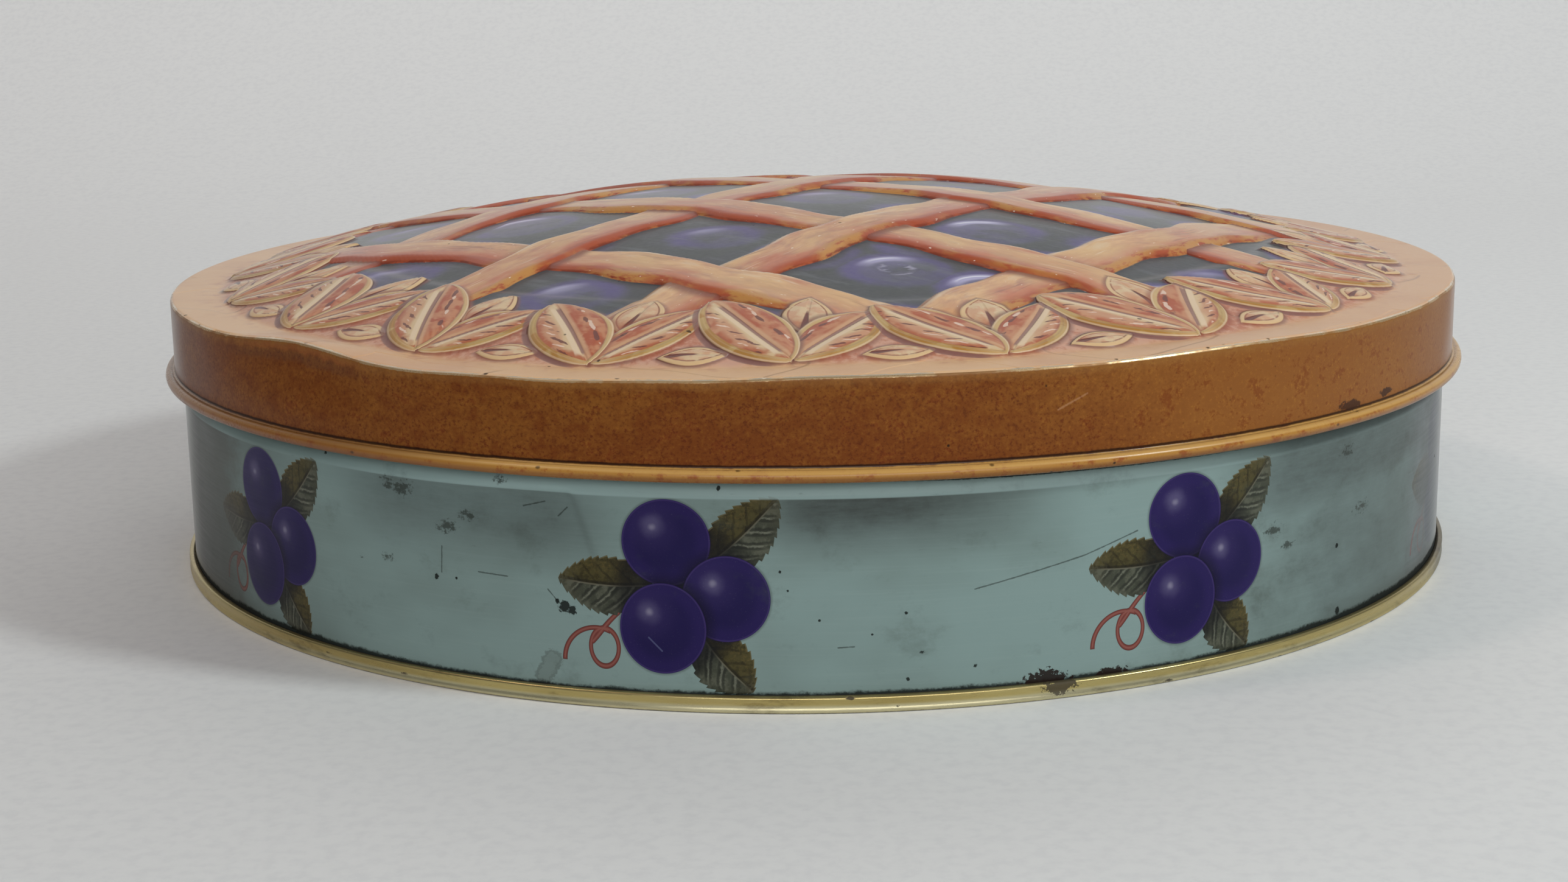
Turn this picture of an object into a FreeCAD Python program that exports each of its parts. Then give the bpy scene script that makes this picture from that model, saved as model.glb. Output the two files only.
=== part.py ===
import FreeCAD, Part
import math
import os

# A round pie-shaped tin of printed tinplate with a loose slip lid. Millimetres, +Z up, the
# origin at the centre of the foot's lowest plane, and -Y the side that faces the viewer.

# Tinplate
SHEET = 0.3
SEAM_CLEARANCE = 0.02

# Wall: rolled sheet with a lapped side seam at the back, a shoulder, a neck and a folded edge
WALL_R = 118.6
BODY_HEIGHT = 49.8
SHOULDER_Z = 33.0
SHOULDER_RISE = 2.2
EDGE_FOLD = 2.4
LAP_WIDTH = 5.0
LAP_MARGIN = 1.0

# End: recessed panel, seamed round the wall's foot
SEAM_HEIGHT = 2.6
SEAM_THICKNESS = 1.2
SEAM_BEVEL = 0.4
PANEL_Z = 3.2

# Lid: drawn skirt with a curled hem, flat rim and embossed dome
SKIRT_CLEARANCE = 1.1
LID_PLAY = 1.8
LID_REST_GAP = 0.1
SKIRT_DEPTH = 15.0
RIM_BEVEL = 0.8
RIM_WIDTH = 9.0
HEM_CURL_RADIUS = 1.0
HEM_CURL_FLATS = 8
DOME_RISE = 14.5

# Lattice: two families of strips that cross at right angles, woven over and under
LATTICE_TURN = -37.0
LATTICE_MARGIN = 15.0
STRIP_PITCH = 39.0
STRIP_WIDTH = 13.0
STRIP_LOW = 0.6
STRIP_HIGH = 1.8
STRIP_PAD = 16.0
MIDDLE_STRIP_ACROSS = 9.6
MIDDLE_STRIP_ALONG = -5.4

# Garland: pairs of leaves that lean together, with a small bud in each inner notch. Each tip
# has its distance in from the dome's foot, its angle from the pair's meeting point and its
# relief.
LEAF_PAIRS = 23
LEAF_SIDES = 6
BUD_SIDES = 4
LEAF_FULLNESS = 0.7
LEAF_GROOVE = 0.5
TOP_LEAF = {"outer": (0.7, 0.2, 1.0), "inner": (21.5, -9.0, 2.6), "width": 12.0}
UNDER_LEAF = {"outer": (1.0, 0.4, 0.7), "inner": (19.5, 8.4, 2.0), "width": 10.0}
BUD = {"outer": (13.0, 0.6, 1.2), "inner": (22.7, 0.6, 1.5), "width": 7.0}

# The garland's bed: a low band with one flat under each pair of leaves
BED_WIDTH = 24.0
BED_RELIEF = 0.6

FRONT = -90.0
BACK = 90.0
RELIEF_ROOT = 4.0
CENTRE = FreeCAD.Vector(0, 0, 0)
UP = FreeCAD.Vector(0, 0, 1)


def flat_face(points):
    """A flat face with straight sides."""
    return Part.Face(Part.makePolygon(points + points[:1]))


def turned(corners, degrees=360):
    """A solid of revolution about the tin's axis from (radius, height) corners."""
    section = flat_face([FreeCAD.Vector(radius, 0, height) for radius, height in corners])
    return section.revolve(CENTRE, UP, degrees)


# The wall and what sits on it
wall_in = WALL_R - SHEET
skirt_in = WALL_R + SKIRT_CLEARANCE
lid_r = skirt_in + SHEET
fold_r = skirt_in - LID_PLAY
neck_r = fold_r - SHEET
neck_in = neck_r - SHEET
rim_z = BODY_HEIGHT + LID_REST_GAP + SHEET

# The dome is a shallow cap of one large sphere
dome_foot_r = lid_r - RIM_WIDTH
sphere_r = (dome_foot_r ** 2 + DOME_RISE ** 2) / (2 * DOME_RISE)
sphere_z = rim_z + DOME_RISE - sphere_r
hem_z = rim_z - SKIRT_DEPTH + HEM_CURL_RADIUS
lattice_r = dome_foot_r - LATTICE_MARGIN
bed_in = dome_foot_r - BED_WIDTH


def dome_z(x, y):
    return sphere_z + math.sqrt(sphere_r ** 2 - x ** 2 - y ** 2)


def body_wall():
    """The rolled wall, from its foot inside the seam to the folded edge under the lid."""
    shoulder_top = SHOULDER_Z + SHOULDER_RISE
    foot_z = SHEET + SEAM_CLEARANCE
    wall = turned([
        (wall_in, foot_z),
        (WALL_R, foot_z),
        (WALL_R, SHOULDER_Z),
        (neck_r, shoulder_top),
        (neck_r, BODY_HEIGHT - EDGE_FOLD),
        (fold_r, BODY_HEIGHT - EDGE_FOLD),
        (fold_r, BODY_HEIGHT),
        (neck_in, BODY_HEIGHT),
        (neck_in, shoulder_top),
        (wall_in, SHOULDER_Z),
    ])
    lap_z = PANEL_Z + SHEET + LAP_MARGIN
    lap_top = SHOULDER_Z - LAP_MARGIN
    lap_angle = math.degrees(LAP_WIDTH / WALL_R)
    lap_in = wall_in - SHEET
    lap = turned([(lap_in, lap_z), (wall_in, lap_z), (wall_in, lap_top), (lap_in, lap_top)], lap_angle)
    lap.rotate(CENTRE, UP, BACK - lap_angle / 2)
    return wall.fuse(lap)


def base_end():
    """The recessed panel and the seam that grips the wall's foot."""
    chuck_r = wall_in - SEAM_CLEARANCE
    grip_r = WALL_R + SEAM_CLEARANCE
    seam_r = WALL_R + SEAM_THICKNESS
    return turned([
        (0, PANEL_Z + SHEET),
        (chuck_r, PANEL_Z + SHEET),
        (chuck_r, SHEET),
        (grip_r, SHEET),
        (grip_r, SEAM_HEIGHT),
        (seam_r - SEAM_BEVEL, SEAM_HEIGHT),
        (seam_r, SEAM_HEIGHT - SEAM_BEVEL),
        (seam_r, 0),
        (chuck_r - SHEET, 0),
        (chuck_r - SHEET, PANEL_Z),
        (0, PANEL_Z),
    ])


def hem_curl():
    """Corners of the rolled hem's section, from below the skirt's inside round to its outside."""
    centre_r = skirt_in + HEM_CURL_RADIUS
    corner_r = HEM_CURL_RADIUS / math.cos(math.pi / HEM_CURL_FLATS)
    corners = []
    for step in range(HEM_CURL_FLATS - 1):
        angle = math.pi * (1 + (2 * step + 1) / HEM_CURL_FLATS)
        corners.append((centre_r + corner_r * math.cos(angle), hem_z + corner_r * math.sin(angle)))
    return corners


def cup(inset):
    """The skirt and rim as a full block, or, inset by the sheet, the hollow inside them."""
    skirt_r = lid_r - inset
    top_z = rim_z - inset
    bevel = RIM_BEVEL - inset * (2 - math.sqrt(2))
    foot = [(0, hem_z), (skirt_in, hem_z)]
    if not inset:
        curl = hem_curl()
        foot += curl + [(skirt_r, curl[-1][1])]
    return turned(foot + [(skirt_r, top_z - bevel), (skirt_r - bevel, top_z), (0, top_z)])


def dome(inset):
    """The smooth cap, cut off out of sight under the garland's bed."""
    ball = Part.makeSphere(sphere_r - inset, FreeCAD.Vector(0, 0, sphere_z), FreeCAD.Vector(1, 0, 0))
    reach = (bed_in + dome_foot_r) / 2
    return ball.common(Part.makeCylinder(reach, 2 * rim_z, FreeCAD.Vector(0, 0, hem_z)))


def ring_outline(flat_r, height):
    """Corners with one flat per pair of leaves, the first flat in front."""
    corner_r = flat_r / math.cos(math.pi / LEAF_PAIRS)
    points = []
    for n in range(LEAF_PAIRS):
        angle = math.radians(FRONT + 360 * (n + 0.5) / LEAF_PAIRS)
        points.append(FreeCAD.Vector(corner_r * math.cos(angle), corner_r * math.sin(angle), height))
    return points


def garland_bed(inset):
    """A sloping band of flats from the rim up to a low step on the dome."""
    slope = (dome_z(bed_in, 0) + BED_RELIEF - rim_z) / BED_WIDTH
    drop = inset * math.sqrt(1 + slope ** 2)
    sections = []
    for flat_r in (dome_foot_r + RIM_WIDTH / 2, bed_in - RELIEF_ROOT):
        height = rim_z + slope * (dome_foot_r - flat_r) - drop
        sections.append(ring_outline(flat_r, height))
    lower, upper = sections
    sides = [flat_face(lower), flat_face(upper)]
    for n in range(LEAF_PAIRS):
        after = (n + 1) % LEAF_PAIRS
        sides.append(flat_face([lower[n], lower[after], upper[after], upper[n]]))
    band = Part.Solid(Part.Shell(sides))
    middle = flat_face(ring_outline(bed_in + inset, hem_z)).extrude(UP * 2 * rim_z)
    return band.cut(middle)


def strip(across, crossings, inset):
    """A straight prism whose top steps up over the strips it crosses, or down below them."""
    half = math.sqrt(lattice_r ** 2 - across ** 2) - inset
    tops = [(-half, STRIP_LOW)]
    for place, is_over in crossings:
        for s in (place - STRIP_PAD / 2, place + STRIP_PAD / 2):
            if -half < s < half:
                tops.append((s, STRIP_HIGH if is_over else STRIP_LOW))
    tops.append((half, STRIP_LOW))
    ridge = [FreeCAD.Vector(s, 0, dome_z(s, across) + relief - inset) for s, relief in tops]
    root_z = min(ridge[0].z, ridge[-1].z) - RELIEF_ROOT
    section = flat_face(ridge + [FreeCAD.Vector(half, 0, root_z), FreeCAD.Vector(-half, 0, root_z)])
    tilt = FreeCAD.Vector(0, 1, -across / math.sqrt(sphere_r ** 2 - across ** 2))
    width = STRIP_WIDTH - 2 * inset
    section.translate(FreeCAD.Vector(0, across, 0) - tilt * (width / 2))
    return section.extrude(tilt * width)


def strip_places(middle):
    """The numbered offsets of one family of strips that lie inside the lattice."""
    most = lattice_r - STRIP_WIDTH / 2
    numbers = range(-math.ceil(most / STRIP_PITCH) - 1, math.ceil(most / STRIP_PITCH) + 2)
    places = [(n, middle + STRIP_PITCH * n) for n in numbers]
    return [(n, place) for n, place in places if abs(place) < most]


def lattice(inset):
    """Both families of strips; where two cross, the numbers say which one lies over."""
    across = strip_places(MIDDLE_STRIP_ACROSS)
    along = strip_places(MIDDLE_STRIP_ALONG)
    strips = []
    for n, place in across:
        crossings = [(s, (n + m) % 2 == 1) for m, s in along]
        one = strip(place, crossings, inset)
        one.rotate(CENTRE, UP, LATTICE_TURN)
        strips.append(one)
    for m, place in along:
        crossings = [(s, (n + m) % 2 == 0) for n, s in across]
        one = strip(-place, crossings, inset)
        one.rotate(CENTRE, UP, LATTICE_TURN + 90)
        strips.append(one)
    return strips


def tip(depth, degrees, relief):
    """A leaf's tip, above the dome."""
    angle = math.radians(FRONT + degrees)
    x = (dome_foot_r - depth) * math.cos(angle)
    y = (dome_foot_r - depth) * math.sin(angle)
    return FreeCAD.Vector(x, y, dome_z(x, y) + relief)


def leaf(outer, inner, width, sides, inset):
    """A pointed form between two tips, with a shallow valley along its midrib."""
    start = tip(*outer)
    end = tip(*inner)
    along = (end - start).normalize()
    length = start.distanceToPoint(end) - 4 * inset
    half = width / 2 - inset
    one_side = []
    for n in range(sides // 2 + 1):
        part_way = 2 * n / sides
        reach = half * math.sin(math.pi * part_way) ** LEAF_FULLNESS
        one_side.append(FreeCAD.Vector(length * part_way, reach, -RELIEF_ROOT))
    other_side = [FreeCAD.Vector(p.x, -p.y, p.z) for p in one_side[1:-1]]
    column = flat_face(one_side + other_side[::-1]).extrude(UP * 2 * RELIEF_ROOT)
    profile = [
        FreeCAD.Vector(0, -width, -2 * RELIEF_ROOT),
        FreeCAD.Vector(0, width, -2 * RELIEF_ROOT),
        FreeCAD.Vector(0, width, 2 * LEAF_GROOVE - inset),
        FreeCAD.Vector(0, 0, -inset),
        FreeCAD.Vector(0, -width, 2 * LEAF_GROOVE - inset),
    ]
    valley = flat_face(profile).extrude(FreeCAD.Vector(length, 0, 0))
    form = column.common(valley)
    outward = (start + end) / 2 - FreeCAD.Vector(0, 0, sphere_z)
    turn = FreeCAD.Rotation(along, outward.cross(along), outward, "XYZ")
    form.Placement = FreeCAD.Placement(start + along * (2 * inset), turn)
    return form


def garland(inset):
    """The ring of leaves; the buds are too small to show on the sheet's underside."""
    forms = [leaf(**TOP_LEAF, sides=LEAF_SIDES, inset=inset)]
    forms.append(leaf(**UNDER_LEAF, sides=LEAF_SIDES, inset=inset))
    if not inset:
        forms.append(leaf(**BUD, sides=BUD_SIDES, inset=inset))
    ring = []
    for n in range(LEAF_PAIRS):
        for form in forms:
            copy = form.copy()
            copy.rotate(CENTRE, UP, 360 * n / LEAF_PAIRS)
            ring.append(copy)
    return ring


def pressing(inset):
    """Everything under the lid's outer skin, or, inset by the sheet, under its inner skin."""
    forms = [dome(inset), garland_bed(inset)] + lattice(inset) + garland(inset)
    return cup(inset).multiFuse(forms).removeSplitter()


def lid():
    """One sheet, drawn and embossed, with its hem curled outwards."""
    return pressing(0).cut(pressing(SHEET))


def main():
    os.makedirs("parts", exist_ok=True)
    nodes = {"body_wall": body_wall(), "base_end": base_end(), "lid": lid()}
    for name, shape in nodes.items():
        solid = shape.Solids[0]
        print(name, shape.isValid(), len(shape.Solids), round(shape.Volume), shape.BoundBox)
        solid.exportStep("parts/%s.step" % name)


main()
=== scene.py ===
"""A pie-shaped tin of printed tinplate with a loose slip lid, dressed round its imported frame."""

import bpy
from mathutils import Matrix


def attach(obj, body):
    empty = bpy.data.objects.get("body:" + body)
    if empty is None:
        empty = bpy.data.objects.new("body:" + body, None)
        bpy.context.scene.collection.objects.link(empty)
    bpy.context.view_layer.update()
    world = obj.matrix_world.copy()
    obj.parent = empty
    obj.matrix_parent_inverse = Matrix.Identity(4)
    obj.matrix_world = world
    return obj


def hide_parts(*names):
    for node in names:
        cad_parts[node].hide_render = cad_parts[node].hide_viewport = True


bl_info = {
    "name": "Pie tin",
    "version": (1, 0, 0),
    "blender": (4, 5, 0),
    "location": "3D View > Sidebar > Pie tin",
    "description": "Builds a round printed tin with an embossed pie lid",
    "category": "Add Mesh",
}

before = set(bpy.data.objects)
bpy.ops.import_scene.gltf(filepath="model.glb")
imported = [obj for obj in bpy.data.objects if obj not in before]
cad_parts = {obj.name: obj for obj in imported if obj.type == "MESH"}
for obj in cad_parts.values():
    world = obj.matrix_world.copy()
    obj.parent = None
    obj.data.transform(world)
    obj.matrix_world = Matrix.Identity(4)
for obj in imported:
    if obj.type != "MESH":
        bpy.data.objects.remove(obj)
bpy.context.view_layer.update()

import math
from collections import namedtuple
from functools import reduce

import bpy
import numpy as np
from bpy.props import FloatProperty, FloatVectorProperty, IntProperty, PointerProperty
from mathutils import Matrix, Vector

MM = 0.001

# Sizes of the sheets, in millimetres, as the solids have them
SHEET = 0.3
LID_R = 120.0
RIM_Z = 50.2
RIM_ROUND = 0.8
DOME_FOOT_R = 111.0
DOME_RISE = 14.5
SPHERE_R = (DOME_FOOT_R ** 2 + DOME_RISE ** 2) / (2 * DOME_RISE)
SKIRT_TOP = 49.0
HEM_Z = 36.2
HEM_CURL_R = 1.0
HEM_CREASE_Z = 37.5
# Height of the painted shadow line under the hem
HEM_SHADOW_Z = 35.0
WALL_R = 118.6
WALL_FOOT_Z = 1.2
SHOULDER_Z = 33.0
SHOULDER_TOP = 35.2
NECK_R = 117.6
FOLD_R = 117.9
FOLD_Z = 47.4
BODY_HEIGHT = 49.8
LAP_HALF = 2.4
LAP_FOOT_Z = 4.3
LAP_TOP_Z = 32.2
SEAM_TOP = 2.6
SEAM_R = 119.8
SEAM_ROUND = 0.4
PANEL_Z = 3.2
PANEL_R = 118.0

# Reach of the pressed patterns on the lid's plan
LATTICE_END = (93, 98)
BED_START = (84.5, 88.5)
BED_END = (100, 111)
PRESSING_END = (111.2, 113.2)
BED_RELIEF = 0.45

# Sectors round the skins, steps between the lid's rings where it is pressed and where it is plain,
# and the strips that a band's map is cut into
PIE_SECTORS = 1024
WALL_SECTORS = 960
EDGE_SECTORS = 720
LINING_SECTORS = 512
FINE_RING = 0.6
PLAIN_RING = 0.9
WALL_STRIPS = 4
SKIRT_STRIPS = 5
SEAM_STRIPS = 10

# Empty edge of a map, and of a strip in it, as parts of the map's and the strip's width
MAP_EDGE = 0.01
STRIP_EDGE = 0.04

# Name under which each piece keeps its points' places on the plain sheet
SHEET_PLACE = "sheet_place"


def tone(red, green, blue):
    """A colour as a screen shows it, 0 to 255, in the linear values that a shader takes."""
    return tuple(((part / 255 + 0.055) / 1.055) ** 2.4 for part in (red, green, blue))


def colour(name, description, *screen):
    """A colour that the user can change."""
    return FloatVectorProperty(
        name=name, description=description, subtype="COLOR", size=3, min=0, max=1,
        default=tone(*screen))


def length(name, description, millimetres):
    """A length that the user can change."""
    return FloatProperty(
        name=name, description=description, default=millimetres * MM, min=0, unit="LENGTH")


def turn(name, description, degrees):
    """An angle that the user can change."""
    return FloatProperty(
        name=name, description=description, default=math.radians(degrees), subtype="ANGLE")


class TinSizes(bpy.types.PropertyGroup):
    """Sizes of the pressed and printed patterns"""

    strip_pitch: length("Strip pitch", "Distance from one pastry strip to the next", 39.0)
    strip_width: length("Strip width", "Width of a pastry strip", 12.6)
    strip_low: length("Strip low", "Relief of a strip where it passes under another", 0.5)
    strip_high: length("Strip high", "Relief of a strip where it passes over another", 1.2)
    lattice_turn: turn("Lattice turn", "Turn of the lattice about the tin's axis", -37)
    leaf_pairs: IntProperty(
        name="Leaf pairs", description="Pairs of leaves round the garland", default=22, min=3)
    sprig_step: turn("Sprig step", "Angle from one fruit sprig to the next", 39)
    sprig_turn: turn("Sprig turn", "Angle of the sprig nearest the front", -10.2)
    sprigs_each_way: IntProperty(
        name="Sprigs each way", description="Sprigs on each side of the one nearest the front",
        default=4, min=0)
    sprig_height: length("Sprig height", "Height of a sprig's middle above the ground", 18.3)


class TinColours(bpy.types.PropertyGroup):
    """Inks and lacquers"""

    crust_pale: colour("Pale crust", "Highlights of the pastry", 236, 208, 176)
    crust_cream: colour("Cream crust", "Flat pastry of the rim", 231, 184, 134)
    crust_peach: colour("Peach crust", "Middle tone of the pastry", 212, 156, 118)
    crust_orange: colour("Orange crust", "Baked ends of the buds", 186, 98, 54)
    crust_shade: colour("Crust shade", "Shadows painted between the leaves", 113, 75, 71)
    berry_violet: colour("Berry violet", "Berries under the lattice", 88, 83, 116)
    berry_grey: colour("Berry grey", "Shaded sides of the berries", 64, 68, 69)
    berry_dark: colour("Berry dark", "Gaps between the berries", 57, 62, 61)
    skirt_brown: colour("Skirt brown", "Print on the lid's skirt", 114, 60, 19)
    skirt_gold: colour("Skirt gold", "Clouds in the skirt's print", 136, 85, 31)
    skirt_red: colour("Skirt red", "Mottle in the skirt's print", 106, 38, 12)
    wall_green: colour("Wall green", "Print on the wall", 128, 149, 146)
    fruit_blue: colour("Fruit blue", "Printed plums on the wall", 29, 21, 70)
    leaf_gold: colour("Leaf gold", "Lit halves of the printed leaves", 74, 68, 40)
    leaf_grey: colour("Leaf grey", "Shaded halves of the printed leaves", 63, 66, 55)
    tendril_red: colour("Tendril red", "Printed tendrils on the wall", 116, 62, 56)
    lacquer_gold: colour("Gold lacquer", "Lacquer on the seam and the inside", 196, 178, 118)
    paper: colour("Paper", "Floor and backdrop", 238, 238, 237)


# Arithmetic that works on shader values and on plain numbers alike, so that the pressed relief
# and the printed ink follow the same lines


def work(operation, plain=None):
    """A step of arithmetic, done by a Math node where any part is a shader value."""
    def step(*parts):
        for part in parts:
            if isinstance(part, Value):
                return part.finish.math(operation, *parts)
        return plain(*parts)
    return step


class Value:
    """A number or colour that changes over a surface: a socket in a finish's node tree."""

    def __init__(self, finish, socket):
        self.finish = finish
        self.socket = socket

    __add__ = __radd__ = work("ADD")
    __mul__ = __rmul__ = work("MULTIPLY")
    __sub__ = work("SUBTRACT")
    __truediv__ = work("DIVIDE")

    def __rsub__(self, other):
        return self.finish.math("SUBTRACT", other, self)

    def __neg__(self):
        return self * -1


sine = work("SINE", np.sin)
cosine = work("COSINE", np.cos)
size_of = work("ABSOLUTE", np.abs)
whole = work("FLOOR", np.floor)
power = work("POWER", np.power)
arc_tangent = work("ARCTAN2", np.arctan2)
# One where the first part is more than the second, otherwise nought
above = work("GREATER_THAN", lambda a, b: np.where(a > b, 1.0, 0.0))


def higher(*parts):
    """The highest of the parts."""
    return reduce(work("MAXIMUM", np.maximum), parts)


def lower(*parts):
    """The lowest of the parts."""
    return reduce(work("MINIMUM", np.minimum), parts)


def bearing(x, y):
    """The angle from the front towards the right."""
    return arc_tangent(x, -y)


def off_whole(a):
    """How far a number is from the nearest whole one."""
    return a - whole(a + 0.5)


def span(a, b):
    """The length of a plane vector."""
    return power(a * a + b * b, 0.5)


def smooth(a, low, high):
    """Rises softly from nought at low to one at high."""
    if isinstance(a, Value):
        return a.finish.ease(a, low, high)
    t = np.clip((a - low) / (high - low), 0, 1)
    return t * t * (3 - 2 * t)


def between(a, b, mask):
    """a where the mask is nought, b where it is one."""
    return a + (b - a) * mask


def band(a, middle, half, soft):
    """One within half of the middle, fading over soft."""
    return 1 - smooth(size_of(a - middle), half, half + soft)


def beside(x, y, start, end):
    """How far a point is along a line and to its side, and the line's length."""
    run = math.dist(start, end)
    ahead_x, ahead_y = (end[0] - start[0]) / run, (end[1] - start[1]) / run
    x, y = x - start[0], y - start[1]
    return x * ahead_x + y * ahead_y, x * ahead_y - y * ahead_x, run


def oval(x, y, middle, up, half, tall):
    """How far a point is from an oval's middle, in the oval's half width and half height."""
    return span((x - middle) / half, (y - up) / tall)


def stroke(x, y, start, end):
    """Distance from a straight pen stroke."""
    along, side, run = beside(x, y, start, end)
    return span(side, higher(-along, along - run, 0))


def within(part_way):
    """A leaf's part of the way, kept off its tips."""
    return lower(higher(part_way, 0.001), 0.999)


def past_tips(part_way, run):
    """How far a point lies beyond a leaf's tips."""
    return higher(size_of(part_way - 0.5) - 0.5, 0) * run


class Finish:
    """A material and the nodes that make it."""

    def __init__(self, name):
        self.material = bpy.data.materials.new(name)
        self.material.use_nodes = True
        self.tree = self.material.node_tree
        self.tree.nodes.clear()

    def node(self, kind, settings, values, *outputs):
        """Adds a node, sets it up, links its sockets or fills them, and gives the outputs named."""
        made = self.tree.nodes.new(kind)
        for name, setting in settings.items():
            if name == "stops":
                elements = made.color_ramp.elements
                while len(elements) < len(setting):
                    elements.new(0.5)
                for element, (place, shade) in zip(elements, setting):
                    element.position = place
                    element.color = self.rgba(shade)
            else:
                setattr(made, name, setting)
        for name, value in values.items():
            socket = made.inputs[name]
            if isinstance(value, Value):
                self.tree.links.new(value.socket, socket)
            else:
                socket.default_value = self.rgba(value) if socket.type == "RGBA" else value
        found = [Value(self, made.outputs[name]) for name in outputs]
        return found[0] if len(found) == 1 else found

    def rgba(self, shade):
        """A plain tuple is a colour as a screen shows it; the user's colours are linear."""
        return (*(tone(*shade) if isinstance(shade, tuple) else shade), 1)

    def math(self, operation, *parts):
        return self.node("ShaderNodeMath", {"operation": operation}, dict(enumerate(parts)), 0)

    def ease(self, value, low, high):
        values = {"Value": value, "From Min": low, "From Max": high}
        if not isinstance(low, Value) and low > high:
            values.update({"From Min": high, "From Max": low, "To Min": 1.0, "To Max": 0.0})
        settings = {"interpolation_type": "SMOOTHSTEP"}
        return self.node("ShaderNodeMapRange", settings, values, "Result")

    def vector(self, x, y, z):
        return self.node("ShaderNodeCombineXYZ", {}, {0: x, 1: y, 2: z}, 0)

    def apart(self, vector):
        return self.node("ShaderNodeSeparateXYZ", {}, {0: vector}, *"XYZ")

    def place(self):
        """The point on the sheet before it was pressed and dented, in millimetres."""
        return self.apart(
            self.node("ShaderNodeAttribute", {"attribute_name": SHEET_PLACE}, {}, "Vector"))

    def glancing(self, low, high):
        """Rises from nought to one as the surface turns edge-on."""
        return smooth(self.node("ShaderNodeLayerWeight", {}, {"Blend": 0.5}, "Facing"), low, high)

    def noise(self, x, y, z, detail=2.0, roughness=0.5):
        """Cloudy noise about a half; the coordinates say how long its waves are."""
        values = {"Vector": self.vector(x, y, z), "Scale": 1.0, "Detail": detail,
                  "Roughness": roughness}
        return self.node("ShaderNodeTexNoise", {"noise_dimensions": "3D"}, values, "Fac")

    def spots(self, here, randomness=1.0):
        """Scattered points: how far and where the nearest one is, and its random number."""
        values = {"Vector": here, "Scale": 1.0, "Randomness": randomness}
        away, spot, shade = self.node(
            "ShaderNodeTexVoronoi", {"voronoi_dimensions": "3D"}, values,
            "Distance", "Position", "Color")
        return away, spot, self.node("ShaderNodeSeparateColor", {}, {0: shade}, "Red")

    def specks(self, x, y, z, ragged, outer, inner, luck):
        """Small marks, solid to inner and gone at outer; the more luck, the fewer."""
        away, _, number = self.spots(self.vector(x, y, z))
        return smooth(away + ragged, outer, inner) * above(number, luck)

    def over(self, base, *layers):
        """Lays colours over a base in turn, each through its mask."""
        settings = {"data_type": "RGBA", "clamp_factor": True}
        for layer, mask in layers:
            base = self.node("ShaderNodeMix", settings, {"Factor": mask, 6: base, 7: layer}, 2)
        return base

    def surface(self, shade, roughness, height, strength, metallic, specular=0.5, coat=0.0,
                coat_roughness=0.03):
        """Closes the finish with its shader; the height is in millimetres."""
        bump = {"Height": height, "Distance": MM, "Strength": strength}
        shader = self.node("ShaderNodeBsdfPrincipled", {}, {
            "Base Color": shade, "Roughness": roughness, "Metallic": metallic,
            "Specular IOR Level": specular, "Coat Weight": coat,
            "Coat Roughness": coat_roughness,
            "Normal": self.node("ShaderNodeBump", {}, bump, "Normal")}, "BSDF")
        self.node("ShaderNodeOutputMaterial", {}, {"Surface": shader})
        return self.material


# The pressed patterns, in millimetres on the lid's plan

Strip = namedtuple("Strip", "edge height rise along side number")
Leaf = namedtuple("Leaf", "edge height part_way side")

# Leaves: outer tip and inner tip, each as distance from the axis, degrees from the pair's middle
# and relief; then width and fullness, which is less for rounder ends
TOP_LEAF = ((110.5, 0.1, 0.7), (90.0, -8.8, 1.35), 13.0, 0.62)
UNDER_LEAF = ((110.2, 0.4, 0.5), (92.6, 7.9, 1.1), 11.0, 0.62)
INNER_BUD = ((101.0, 1.0, 0.7), (87.8, 1.7, 1.1), 8.0, 0.85)
OUTER_BUD = ((108.4, 5.6, 0.5), (107.4, 11.4, 0.5), 5.6, 0.9)
MIDDLE_STRIP_ACROSS = 9.6
MIDDLE_STRIP_ALONG = -5.4


def one_family(sizes, across, along, odd):
    """The nearest strip of one family; it lies over the others at every second crossing."""
    pitch = sizes.strip_pitch / MM
    low = sizes.strip_low / MM
    high = sizes.strip_high / MM
    number = whole(across / pitch + 0.5)
    sway = sine(along * 0.16 + number * 2.3) * 0.5 + sine(along * 0.41 + number * 4.1) * 0.3
    half = sizes.strip_width / MM / 2 + sine(along * 0.23 + number * 1.7) * 0.5
    side = across - number * pitch + sway
    edge = half - size_of(side)
    wave = cosine((along / pitch + number + odd) * math.pi)
    rise = (low + high) / 2 + wave * ((high - low) / 2)
    return Strip(edge, rise * smooth(edge, -0.2, 1.7), rise, along, side, number)


def lattice(sizes, x, y):
    """The nearest strip of each family; a strip's dark side is its positive one."""
    cos, sin = math.cos(sizes.lattice_turn), math.sin(sizes.lattice_turn)
    along = x * cos + y * sin - MIDDLE_STRIP_ALONG
    across = y * cos - x * sin - MIDDLE_STRIP_ACROSS
    first = one_family(sizes, across, along, 1)
    second = one_family(sizes, along, across, 0)
    return first._replace(side=-first.side), second


def one_leaf(reach, angle, outer, inner, width, fullness):
    """A pointed leaf between two tips, seen from a point at a distance and an angle."""
    tips = [(tip[0] * math.sin(math.radians(tip[1])), tip[0] * math.cos(math.radians(tip[1])))
            for tip in (outer, inner)]
    along, side, run = beside(sine(angle) * reach, cosine(angle) * reach, *tips)
    part_way = along / run
    half = power(sine(within(part_way) * math.pi), fullness) * (width / 2)
    edge = half - size_of(side) - past_tips(part_way, run)
    height = outer[2] + (inner[2] - outer[2]) * part_way
    return Leaf(edge, height, part_way, side)


def merged(first, second):
    """Two like leaves that don't meet, as one."""
    mask = above(second.edge, first.edge)
    return Leaf(*[between(a, b, mask) for a, b in zip(first, second)])


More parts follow.
